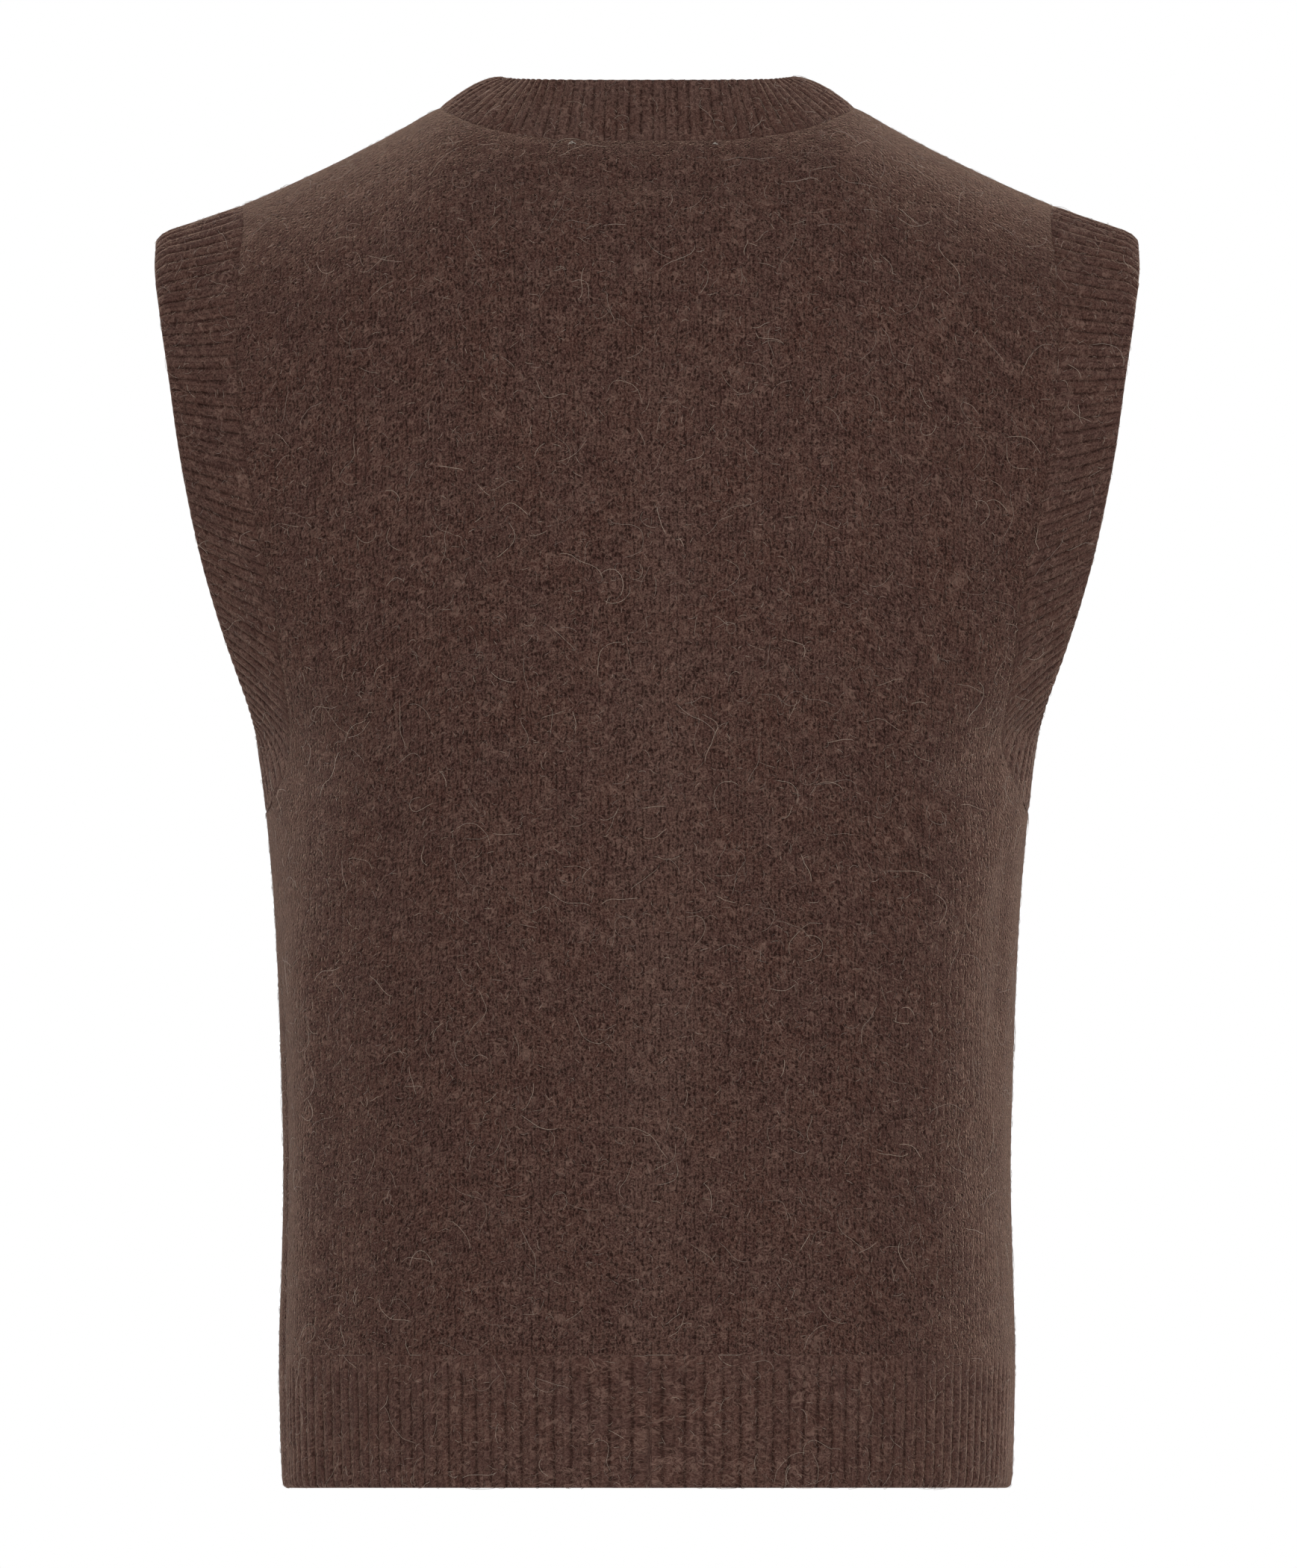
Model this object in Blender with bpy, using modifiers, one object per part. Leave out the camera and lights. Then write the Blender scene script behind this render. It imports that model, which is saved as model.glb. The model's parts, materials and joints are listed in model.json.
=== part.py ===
"""Sleeveless V-neck knitted cardigan, worn and hollow, in metres with +Z up.

The garment's front faces -Y and +X is the wearer's left. The origin is midway between
the neck ends of the two shoulder seams, where a wearer's shoulders hold it up.

One form carries every piece of cloth: level sections that close at the side seams, and a
shoulder ridge over which front and back roll to meet. A panel or a band is a grid of
mid-cloth points on that form, and a wall is lofted half the knit's thickness to each side.
"""
import math

import bmesh
import bpy
import numpy as np
from mathutils import Vector

# ---------------------------------------------------------------- driving sizes (metres)
WALL = 0.0025             # thickness of the knitted cloth
SEAM_GAP = 0.0003         # clearance between neighbouring pieces
LAP_OFFSET = 0.00145      # how far each fastened front band lies from the form

HEM_Z = -0.5860
RIB_TOP_Z = -0.5295       # seam between the panels and the hem ribs
SIDE_TOP_Z = -0.2985      # top of the side seams, at the foot of the armhole bands
UNDERARM_Z = -0.2655      # lowest point of the armhole's rim

NECK_HALF_WIDTH = 0.088   # to the neck end of a shoulder seam
NECK_BACK_DROP = 0.0135   # centre back neck below the shoulder seam's neck end
NECK_BACK_POWER = 3.5     # how squarely the back neck seam turns up at the shoulders
NECK_BAND = 0.0315        # width of the rib round the neck, before its curve takes some up
NECK_TOP_Z = 0.0137       # its free edge stands level at this height round the back
FRONT_BAND = 0.030        # width of the ribs down the fronts
V_DROP = 0.262            # where the V's seams come straight, below the shoulder ridge
V_POWER = 1.25            # curve of the V's sides
NECK_LIFT = math.radians(10)  # how far the neck rib rises out of the cloth's own surface
NECK_TURN = math.radians(-36) # and how far it turns down again over the shoulder
NECK_BEND = (0.35, 0.70)      # share of its width that it bends at: centre back, shoulder
LAP_FADE = (0.100, 0.175)     # drops between which the front bands come to lie on each other
SETTLE = (0.015, 0.080)       # drops between which the neck rib lies down on the front

ROLL = 0.120              # height over which the cloth rolls from the ridge to its full depth
ARM_GAP_MID_Z = -0.159    # the armhole keeps its full gap above this height
ARM_GAP = {1: 0.050, -1: 0.046}   # half gap of the armhole: back, front

SHOULDER_X = 0.1725       # outer end of the shoulder seam
RIM_TOP_X = 0.2072        # top of the armhole's rim

BUTTON_COUNT = 5
BUTTON_TOP_Z = -0.2400
BUTTON_LOW_Z = -0.5620
BUTTON_RADIUS = 0.009
BUTTON_THICK = 0.0034
BUTTON_HOLE_RADIUS = 0.0009
BUTTON_HOLE_PITCH = 0.0017    # from the button's centre
BUTTON_SIDES = 24
HOLE_SIDES = 10
BUTTON_HOLES = 4

# Level sections of the worn cardigan. half_width is over the cloth: to the armhole's rim
# above the underarm, and to the side seam below it. squareness 2 is an ellipse.
SECTION_COLUMNS = ("z", "half_width", "back_depth", "front_depth", "squareness")
SECTIONS = (
    (-0.0000, 0.2080, 0.0920, 0.0880, 1.70),
    (-0.0530, 0.2085, 0.0970, 0.0925, 1.70),
    (-0.0610, 0.2097, 0.0980, 0.0935, 1.70),
    (-0.0860, 0.2077, 0.1005, 0.0960, 1.70),
    (-0.1145, 0.2038, 0.1030, 0.0990, 1.70),
    (-0.1430, 0.1998, 0.1055, 0.1020, 1.70),
    (-0.1717, 0.1944, 0.1075, 0.1055, 1.70),
    (-0.2003, 0.1876, 0.1090, 0.1090, 1.72),
    (-0.2194, 0.1820, 0.1097, 0.1115, 1.80),
    (-0.2385, 0.1755, 0.1100, 0.1135, 1.90),
    (-0.2528, 0.1703, 0.1100, 0.1145, 2.00),
    (-0.2655, 0.1667, 0.1097, 0.1150, 2.08),
    (-0.2767, 0.1649, 0.1093, 0.1153, 2.15),
    (-0.2957, 0.1627, 0.1085, 0.1150, 2.25),
    (-0.3339, 0.1592, 0.1062, 0.1130, 2.35),
    (-0.3721, 0.1571, 0.1040, 0.1105, 2.40),
    (-0.4102, 0.1558, 0.1022, 0.1082, 2.40),
    (-0.4484, 0.1549, 0.1015, 0.1068, 2.40),
    (-0.4865, 0.1556, 0.1022, 0.1065, 2.40),
    (-0.5295, 0.1568, 0.1040, 0.1070, 2.40),
    (-0.5629, 0.1562, 0.1045, 0.1070, 2.40),
    (-0.5860, 0.1554, 0.1042, 0.1065, 2.40),
)

# Crest line of the shoulders over the cloth, from the middle of the neck outwards.
RIDGE_COLUMNS = ("x", "z")
RIDGE = (
    (0.0000, 0.0085),
    (0.0400, 0.0080),
    (0.0700, 0.0056),
    (0.0880, 0.0018),
    (0.1038, -0.0068),
    (0.1197, -0.0153),
    (0.1436, -0.0270),
    (0.1675, -0.0376),
    (0.1913, -0.0464),
    (0.2000, -0.0493),
    (0.2055, -0.0516),
    (0.2090, -0.0552),
)

# Seam between a panel and its armhole band: share of the way from the shoulder down to
# the underarm, and its angle round the section in degrees.
ARM_SEAM_COLUMNS = ("share", "angle")
ARM_SEAM = (
    (0.00, 45.3),
    (0.10, 45.5),
    (0.20, 45.0),
    (0.30, 43.2),
    (0.40, 42.0),
    (0.50, 41.2),
    (0.60, 38.8),
    (0.70, 31.2),
    (0.80, 22.8),
    (0.87, 16.8),
    (0.93, 9.6),
    (1.00, 0.0),
)

# Turned outline of a button, from the dished middle of its face round to its back.
BUTTON_COLUMNS = ("radius_share", "thickness_share")
BUTTON_OUTLINE = (
    (0.00, 0.62),
    (0.62, 0.66),
    (0.69, 0.97),
    (0.88, 1.00),
    (0.98, 0.80),
    (1.00, 0.50),
    (0.93, 0.16),
    (0.80, 0.00),
    (0.00, 0.00),
)

UPPER_ROWS = 18           # rows of a panel above the side seams
LOWER_ROWS = 8            # and below them
COLUMNS = 12              # columns of half a panel, an even number
RIB_ROWS = 3              # rows of a hem rib
BAND_COLUMNS = 4          # columns across a band
RIDGE_PASSES = 4          # passes that settle a point's x against the sloping ridge
STEP = 0.001              # short step for a surface's direction
INSIDE = 3                # rows or columns in from an edge that show which way is in
OUTWARD_LIFT = 0.05       # tells a surface's outer face, with a point's own x and y
CLOTH_EDGE = math.radians(50)     # folds sharper than this stay sharp
BUTTON_EDGE = math.radians(35)
COLOURS = {
    "knit": (0.071, 0.037, 0.030, 1.0),
    "button": (0.045, 0.021, 0.014, 1.0),
}


# ---------------------------------------------------------------- the form
def smooth_table(rows, column, at):
    """Cubic through a table's rows, read at a value of the first column."""
    keys = [row[0] for row in rows]
    values = [row[column] for row in rows]
    if keys[0] > keys[-1]:
        keys = keys[::-1]
        values = values[::-1]
    if at <= keys[0]:
        return values[0]
    if at >= keys[-1]:
        return values[-1]
    slopes = np.gradient(values, keys)
    low = int(np.searchsorted(keys, at, side="right")) - 1
    span = keys[low + 1] - keys[low]
    part = (at - keys[low]) / span
    square = part * part
    cube = square * part
    return float(values[low] * (2 * cube - 3 * square + 1)
                 + slopes[low] * span * (cube - 2 * square + part)
                 + values[low + 1] * (3 * square - 2 * cube)
                 + slopes[low + 1] * span * (cube - square))


def blend(low, high, part):
    return low + (high - low) * part


def smooth_step(part):
    part = min(max(part, 0.0), 1.0)
    return part * part * (3 - 2 * part)


def section(z, column):
    return smooth_table(SECTIONS, SECTION_COLUMNS.index(column), z)


def rim_half_width(z):
    """Mid-cloth half width at the armhole's rim, or at the side seam below it."""
    return section(z, "half_width") - WALL / 2


def ridge_z(x):
    return smooth_table(RIDGE, RIDGE_COLUMNS.index("z"), abs(x)) - WALL / 2


def arm_gap(z, side):
    """Half gap of the armhole at a height, before the shoulder's roll: 0 below it."""
    if z >= ARM_GAP_MID_Z:
        return ARM_GAP[side]
    fall = (ARM_GAP_MID_Z - z) / (ARM_GAP_MID_Z - UNDERARM_Z)
    return ARM_GAP[side] * math.sqrt(max(1 - fall * fall, 0.0))


def depth(z, side):
    return section(z, "back_depth" if side > 0 else "front_depth") - WALL / 2


def spread(z, side):
    """Half width at which a section would close, if the armhole did not cut it."""
    power = section(z, "squareness")
    cut = arm_gap(z, side) / depth(z, side)
    return rim_half_width(z) / (1 - cut ** power) ** (1 / power)


def roll(drop):
    part = 1 - min(max(drop, 0.0) / ROLL, 1.0)
    return math.sqrt(1 - part * part)


def form_point(angle, drop, side):
    """Mid-cloth point at an angle round the section, a drop below the shoulder ridge.

    The angle is 90 degrees at the centre and 0 where the section closes at the side.
    """
    x = 0.0
    for _ in range(RIDGE_PASSES):
        z = ridge_z(x) - drop
        power = section(z, "squareness")
        x = spread(z, side) * max(math.cos(angle), 0.0) ** (2 / power)
    y = depth(z, side) * math.sin(angle) ** (2 / power) * roll(drop)
    return Vector((x, side * y, z))


def angle_at(x, z, side):
    part = min(max(x, 0.0) / spread(z, side), 1.0)
    return math.acos(part ** (section(z, "squareness") / 2))


def level_point(angle, z, side):
    """Mid-cloth point of the form at an angle, on a level section."""
    power = section(z, "squareness")
    x = spread(z, side) * max(math.cos(angle), 0.0) ** (2 / power)
    y = depth(z, side) * math.sin(angle) ** (2 / power) * roll(ridge_z(x) - z)
    return Vector((x, side * y, z))


def form_at(x, z, side):
    """Mid-cloth point of the form at x and z, on either side of the centre."""
    point = level_point(angle_at(abs(x), z, side), z, side)
    return Vector((x, point.y, z))


def arc_of(drop):
    """Length along the roll from the ridge down to a drop."""
    if drop < ROLL:
        return ROLL * math.acos(1 - max(drop, 0.0) / ROLL)
    return ROLL * math.pi / 2 + drop - ROLL


def drop_of(arc):
    if arc < ROLL * math.pi / 2:
        return ROLL * (1 - math.cos(arc / ROLL))
    return arc - ROLL * math.pi / 2 + ROLL


def surface_normal(angle, drop, side):
    """Outward normal of the form at an angle and a drop, for x of 0 or more."""
    here = form_point(angle, drop, side)
    across = form_point(max(angle - STEP, 0.0), drop, side)
    across -= form_point(min(angle + STEP, math.pi / 2), drop, side)
    down = form_point(angle, drop_of(arc_of(drop) + STEP), side)
    down -= form_point(angle, drop_of(max(arc_of(drop) - STEP, 0.0)), side)
    normal = across.cross(down).normalized()
    outward = Vector((here.x, here.y, OUTWARD_LIFT))
    return normal if normal.dot(outward) > 0 else -normal


def normal_at(point):
    """Outward normal of the form by a point that lies on it, for x of 0 or more."""
    side = 1 if point.y >= 0 else -1
    return surface_normal(angle_at(point.x, point.z, side), ridge_z(point.x) - point.z, side)


# ---------------------------------------------------------------- seam lines
RIM_TOP_Z = ridge_z(rim_half_width(ridge_z(RIM_TOP_X)))
SIDE_X = rim_half_width(SIDE_TOP_Z)
SIDE_DROP = ridge_z(SIDE_X) - SIDE_TOP_Z      # of the armhole seam's foot
V_FOOT_DROP = ridge_z(FRONT_BAND / 2) - SIDE_TOP_Z


def neck_seam_drop(x):
    """Drop of the back neck seam below the ridge, for x out to the shoulder seam."""
    part = min(abs(x) / NECK_HALF_WIDTH, 1.0)
    z = ridge_z(NECK_HALF_WIDTH) - NECK_BACK_DROP * (1 - part ** NECK_BACK_POWER)
    return max(ridge_z(x) - z, 0.0)


def front_seam_x(drop):
    """Seam between a front panel and its band: the V, then straight down."""
    rise = max(1 - drop / V_DROP, 0.0)
    straight = FRONT_BAND / 2
    return straight + (NECK_HALF_WIDTH - straight) * rise ** V_POWER


def front_seam_point(fall):
    """Seam of the front band above the side seams, for a share of the arc down."""
    drop = drop_of(arc_of(V_FOOT_DROP) * fall)
    x = front_seam_x(drop)
    return angle_at(x, ridge_z(x) - drop, -1), drop


def arm_seam_point(fall, side):
    """Angle, drop and share of the way round of the armhole seam, at a share of the fall."""
    drop = drop_of(arc_of(SIDE_DROP) * fall)
    share = math.acos(max(1 - 2 * drop / SIDE_DROP, -1.0)) / math.pi
    angle = math.radians(smooth_table(ARM_SEAM, ARM_SEAM_COLUMNS.index("angle"), share))
    at_shoulder = angle_at(SHOULDER_X, ridge_z(SHOULDER_X), side)
    angle += (at_shoulder - math.radians(ARM_SEAM[0][1])) * (1 - smooth_step(share * 2))
    return angle, drop, share


def arm_rim_point(share, side):
    """Angle and drop of the armhole's rim, for a share of the way down."""
    z = blend(RIM_TOP_Z, UNDERARM_Z, (1 - math.cos(math.pi * share)) / 2)
    cut = arm_gap(z, side) / depth(z, side)
    angle = math.asin(cut ** (section(z, "squareness") / 2))
    return angle, max(ridge_z(rim_half_width(z)) - z, 0.0)


# ---------------------------------------------------------------- grids of points
def steps(count, first=0):
    """Even parameters up to 1, from a first step of so many."""
    return [k / count for k in range(first, count + 1)]


def fall_of(share):
    """Share of the arc down to the side seams, for a share of the way round the armhole."""
    return arc_of(SIDE_DROP * (1 - math.cos(math.pi * share)) / 2) / arc_of(SIDE_DROP)


FALLS = [fall_of(share) for share in steps(UPPER_ROWS)]
LOWER_Z = [blend(SIDE_TOP_Z, RIB_TOP_Z, part) for part in steps(LOWER_ROWS, 1)]
RIB_Z = [blend(RIB_TOP_Z, HEM_Z, part) for part in steps(RIB_ROWS)]
HALF_COLUMNS = steps(COLUMNS)
NECK_PARTS = HALF_COLUMNS[:COLUMNS // 2 + 1]
ACROSS = steps(BAND_COLUMNS)


def back_top(part):
    """Angle and drop of the back's top edge: the neck seam, then the shoulder seam."""
    if part <= 0.5:
        x = NECK_HALF_WIDTH * math.sin(math.pi * part)
    else:
        x = blend(NECK_HALF_WIDTH, SHOULDER_X, part * 2 - 1)
    drop = neck_seam_drop(x)
    return angle_at(x, ridge_z(x) - drop, 1), drop


def front_top(part):
    x = blend(NECK_HALF_WIDTH, SHOULDER_X, part)
    return angle_at(x, ridge_z(x), -1), 0.0


def upper_row(fall, columns, side):
    """Panel points above the side seams, from the centre out to the armhole seam.

    The columns start where the top edge needs them and even out further down.
    """
    outer_angle = arm_seam_point(fall, side)[0]
    inner_angle = math.pi / 2 if side > 0 else front_seam_point(fall)[0]
    top = [back_top(part) if side > 0 else front_top(part) for part in columns]
    top_span = top[-1][0] - top[0][0]
    foot = level_row(SIDE_TOP_Z, columns, side)
    row = []
    for part, low, (top_angle, top_drop) in zip(columns, foot, top):
        top_part = (top_angle - top[0][0]) / top_span
        angle = blend(inner_angle, outer_angle, blend(top_part, part, smooth_step(fall * 2)))
        arc = blend(arc_of(top_drop), arc_of(ridge_z(low.x) - SIDE_TOP_Z), fall)
        row.append(form_point(angle, drop_of(arc), side))
    return row


def level_row(z, columns, side):
    """Panel points on a level section, from the centre or the front band to the side."""
    inner = math.pi / 2 if side > 0 else angle_at(FRONT_BAND / 2, z, side)
    return [level_point(inner * (1 - part), z, side) for part in columns]


def drawn_in(edge, inside):
    """A sewn edge's points, drawn in along the cloth by half the seam's gap.

    inside has a point of the piece for each point of the edge, to show which way is in.
    """
    drawn = []
    for k, point in enumerate(edge):
        toward = inside[k] - point
        normal = normal_at(point)
        square = []
        for j in (k - 1, k + 1):
            if 0 <= j < len(edge):
                across = normal.cross(edge[j] - point).normalized()
                square.append(across if across.dot(toward) > 0 else -across)
        mitre = (square[0] + square[-1]) / (1 + square[0].dot(square[-1]))
        drawn.append(point + mitre * SEAM_GAP / 2)
    return drawn


def cut_back(edge, inner):
    """The end of a strip, cut back by half a seam's gap."""
    return [a + (b - a).normalized() * SEAM_GAP / 2 for a, b in zip(edge, inner)]


def trimmed(rows, *sewn, beyond=()):
    """A panel's grid with its sewn edges drawn in: top, bottom, left or right.

    beyond has points past the first rows of the right edge, across its seam.
    """
    last = len(rows) - 1
    last_column = len(rows[0]) - 1
    grid = [list(row) for row in rows]
    for name in sewn:
        if name in ("top", "bottom"):
            index = 0 if name == "top" else last
            deep = min(INSIDE, last) if name == "top" else max(last - INSIDE, 0)
            inside = [rows[deep][min(k + INSIDE, last_column)] for k in range(last_column + 1)]
            places = [(index, k) for k in range(last_column + 1)]
        else:
            index = 0 if name == "left" else last_column
            deep = INSIDE if name == "left" else last_column - INSIDE
            inside = [rows[min(k + INSIDE, last)][deep] for k in range(last + 1)]
            places = [(k, index) for k in range(last + 1)]
            if name == "right":
                for k, outer in enumerate(beyond):
                    inside[k] = rows[k][deep] + rows[k][index] - outer
        edge = [rows[row][column] for row, column in places]
        for (row, column), old, new in zip(places, edge, drawn_in(edge, inside)):
            grid[row][column] = grid[row][column] + new - old
    return grid


# ---------------------------------------------------------------- pieces of cloth
def panel_rows(columns, side):
    rows = [upper_row(fall, columns, side) for fall in FALLS]
    return rows + [level_row(z, columns, side) for z in LOWER_Z]


def rim_points(side):
    return [armhole_row(fall, side)[-1] for fall in FALLS]


def make_back(collection, knit):
    grid = trimmed(panel_rows(HALF_COLUMNS, 1), "top", "bottom", "right", beyond=rim_points(1))
    cloth(collection, "back", whole(wall(grid)), knit)


def make_front(collection, knit, name, hand):
    rows = panel_rows(HALF_COLUMNS, -1)
    grid = trimmed(rows, "top", "bottom", "left", "right", beyond=rim_points(-1))
    cloth(collection, name, on_hand(wall(grid), hand), knit)


def make_hem_ribs(collection, knit):
    back = [level_row(z, HALF_COLUMNS, 1) for z in RIB_Z]
    grid = trimmed(back, "top", "right")
    cloth(collection, "hem_rib_back", whole(wall(grid)), knit)
    front = [level_row(z, HALF_COLUMNS, -1) for z in RIB_Z]
    grid = trimmed(front, "top", "left", "right")
    cloth(collection, "hem_rib_front_left", on_hand(wall(grid), 1), knit)
    cloth(collection, "hem_rib_front_right", on_hand(wall(grid), -1), knit)


def armhole_row(fall, side):
    """Points across the armhole band, from its seam out to the rim."""
    seam_angle, seam_drop, share = arm_seam_point(fall, side)
    rim_angle, rim_drop = arm_rim_point(share, side)
    return [form_point(blend(seam_angle, rim_angle, part), blend(seam_drop, rim_drop, part), side)
            for part in ACROSS]


def make_armhole_band(collection, knit, name, hand):
    back = [armhole_row(fall, 1) for fall in FALLS]
    front = [armhole_row(fall, -1) for fall in FALLS]
    ring = back + front[-2:0:-1]
    sewn = drawn_in([row[0] for row in ring], [row[-1] for row in ring])
    ring = [[point] + row[1:] for point, row in zip(sewn, ring)]
    cloth(collection, name, on_hand(wall(ring), hand), knit, ring=True)


def neck_path():
    """The neck seam from the centre back, over the shoulder and down the front.

    Each stop is an angle, a drop, a side (1 on the back, -1 on the front) and the
    direction of the seam there.
    """
    stops = []
    for part in NECK_PARTS:
        ends = [form_point(*back_top(near), 1)
                for near in (max(part - STEP, 0.0), min(part + STEP, 0.5))]
        stops.append((*back_top(part), 1, ends))
    for fall in FALLS:
        ends = [form_point(*front_seam_point(near), -1)
                for near in (max(fall - STEP, 0.0), min(fall + STEP, 1.0))]
        stops.append((*front_seam_point(fall), -1, ends))
    for z in LOWER_Z + RIB_Z[1:]:
        angle = angle_at(FRONT_BAND / 2, z, -1)
        ends = [form_at(FRONT_BAND / 2, near, -1) for near in (z + STEP, z - STEP)]
        stops.append((angle, ridge_z(FRONT_BAND / 2) - z, -1, ends))
    return [(angle, drop, side, (b - a).normalized()) for angle, drop, side, (a, b) in stops]


def band_row(stop, layer):
    """Points across the rib at one stop of its path, from the seam to the free edge.

    Round the neck the rib rises out of the cloth's own surface, and bends so that its
    free edge stands level. Down the front it lies on the form, a layer's offset from it
    where it is lapped.
    """
    angle, drop, side, along = stop
    seam = form_point(angle, drop, side)
    normal = surface_normal(angle, drop, side)
    flat = normal.cross(along).normalized()
    if flat.dot(Vector((-1, 0, 1))) < 0:
        flat = -flat
    settled = 0.0
    lapped = 0.0
    if side < 0:
        settled = smooth_step((drop - SETTLE[0]) / (SETTLE[1] - SETTLE[0]))
        lapped = smooth_step((drop - LAP_FADE[0]) / (LAP_FADE[1] - LAP_FADE[0]))
    lift = NECK_LIFT * (1 - settled)
    turn = NECK_TURN * (1 - settled)
    share = NECK_BEND[1]
    width = blend(NECK_BAND, FRONT_BAND, settled) - SEAM_GAP
    rising = flat * math.cos(lift) + normal * math.sin(lift)
    if side > 0:
        share = blend(*NECK_BEND, (seam.x / NECK_HALF_WIDTH) ** 2)
        rise = (NECK_TOP_Z - seam.z) / width - share * rising.z
        reach = math.hypot(flat.z, normal.z) * (1 - share)
        turn = math.asin(max(min(rise / reach, 1.0), -1.0)) - math.atan2(flat.z, normal.z)
    turned = flat * math.cos(turn) + normal * math.sin(turn)
    bend = seam + rising * width * share
    end = bend + turned * width * (1 - share)
    row = []
    squares = []
    for part in ACROSS:
        point = blend(blend(seam, bend, part), blend(bend, end, part), part)
        across = blend(bend - seam, end - bend, part)
        square = along.cross(across).normalized()
        if square.dot(normal) < 0:
            square = -square
        if settled:
            on_form = form_at(point.x, point.z, side)
            form_square = normal_at(Vector((abs(point.x), on_form.y, point.z)))
            form_square.x = math.copysign(form_square.x, point.x)
            point = blend(point, on_form, settled)
            square = blend(square, form_square, settled).normalized()
        row.append(point + square * layer * LAP_OFFSET * lapped)
        squares.append(square)
    return row, squares


def band_rows(layer):
    """The rib from the centre back to the hem, its seam drawn in by half the gap."""
    made = [band_row(stop, layer) for stop in neck_path()]
    rows = [row for row, squares in made]
    sewn = drawn_in([row[0] for row in rows], [row[-1] for row in rows])
    rows = [[point] + row[1:] for point, row in zip(sewn, rows)]
    return rows, [squares for row, squares in made]


def make_neck_band(collection, knit):
    rows, squares = band_rows(0)
    rows = rows[:len(NECK_PARTS)]
    squares = squares[:len(NECK_PARTS)]
    rows[-1] = cut_back(rows[-1], rows[-2])
    faces = [[list(column) for column in zip(*grid)] for grid in wall(rows, squares)]
    cloth(collection, "neck_band", whole(faces), knit)


def make_front_band(collection, knit, name, hand, layer):
    """layer 1 is the band with the buttonholes, over the band with the buttons at -1."""
    rows, squares = band_rows(layer)
    rows = rows[len(NECK_PARTS):]
    squares = squares[len(NECK_PARTS):]
    rows[0] = cut_back(rows[0], rows[1])
    cloth(collection, name, on_hand(wall(rows, squares), hand), knit)


def mirrored(rows):
    return [[Vector((-p.x, p.y, p.z)) for p in row] for row in rows]


def on_hand(faces, hand):
    """A wall's two grids for one side of the body: hand 1 is the wearer's left, at +X."""
    return faces if hand > 0 else [mirrored(rows) for rows in faces]


def whole(faces):
    """Both halves of a wall whose grids start on the centre line."""
    joined = []
    for rows in faces:
        joined.append([other[:0:-1] + row for row, other in zip(rows, mirrored(rows))])
    return joined


def wall(rows, normals=None):
    """Outer and inner grids of a wall about mid-cloth points."""
    normals = normals or [[normal_at(point) for point in row] for row in rows]
    faces = []
    for half in (WALL / 2, -WALL / 2):
        faces.append([[point + normal * half for point, normal in zip(row, square)]
                      for row, square in zip(rows, normals)])
    return faces


def cloth(collection, name, faces, material, ring=False):
    """Closed wall lofted between its outer and inner grids of points.

    Its quads are split the way that folds them least, because some are not flat.
    """
    mesh = bpy.data.meshes.new(name)
    shape = bmesh.new()
    outer, inner = [[[shape.verts.new(point) for point in row] for row in rows] for rows in faces]
    if ring:
        outer.append(outer[0])
        inner.append(inner[0])

    def strip(first, second):
        for k in range(len(first) - 1):
            shape.faces.new((first[k], first[k + 1], second[k + 1], second[k]))

    for row in range(len(outer) - 1):
        strip(outer[row], outer[row + 1])
        strip(inner[row + 1], inner[row])
    for column in (0, -1):
        strip([row[column] for row in outer], [row[column] for row in inner])
    if not ring:
        for row in (0, -1):
            strip(outer[row], inner[row])
    bmesh.ops.triangulate(shape, faces=shape.faces, quad_method="BEAUTY")
    bmesh.ops.recalc_face_normals(shape, faces=shape.faces)
    shape.to_mesh(mesh)
    shape.free()
    mesh.materials.append(material)
    mesh.shade_smooth()
    mesh.set_sharp_from_angle(angle=CLOTH_EDGE)
    piece = bpy.data.objects.new(name, mesh)
    collection.objects.link(piece)


# ---------------------------------------------------------------- buttons
def button_mesh(collection, material):
    """Turned four-hole button about its own Z, with its back at zero."""
    mesh = bpy.data.meshes.new("button_turning")
    shape = bmesh.new()
    points = [shape.verts.new((BUTTON_RADIUS * out, 0.0, BUTTON_THICK * up))
              for out, up in BUTTON_OUTLINE]
    for first, second in zip(points, points[1:]):
        shape.edges.new((first, second))
    shape.to_mesh(mesh)
    shape.free()
    turning = bpy.data.objects.new("button_turning", mesh)
    collection.objects.link(turning)
    screw = turning.modifiers.new("turn", "SCREW")
    screw.steps = BUTTON_SIDES
    screw.render_steps = BUTTON_SIDES
    screw.use_merge_vertices = True
    screw.merge_threshold = 0.00001
    drills = drill_object()
    cut = turning.modifiers.new("thread_holes", "BOOLEAN")
    cut.operation = "DIFFERENCE"
    cut.object = drills
    bpy.context.view_layer.update()
    seen = turning.evaluated_get(bpy.context.evaluated_depsgraph_get())
    finished = bpy.data.meshes.new_from_object(seen)
    finished.name = "button"
    finished.materials.clear()
    finished.materials.append(material)
    finished.shade_smooth()
    finished.set_sharp_from_angle(angle=BUTTON_EDGE)
    bpy.data.objects.remove(turning)
    bpy.data.objects.remove(drills)
    return finished


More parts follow.
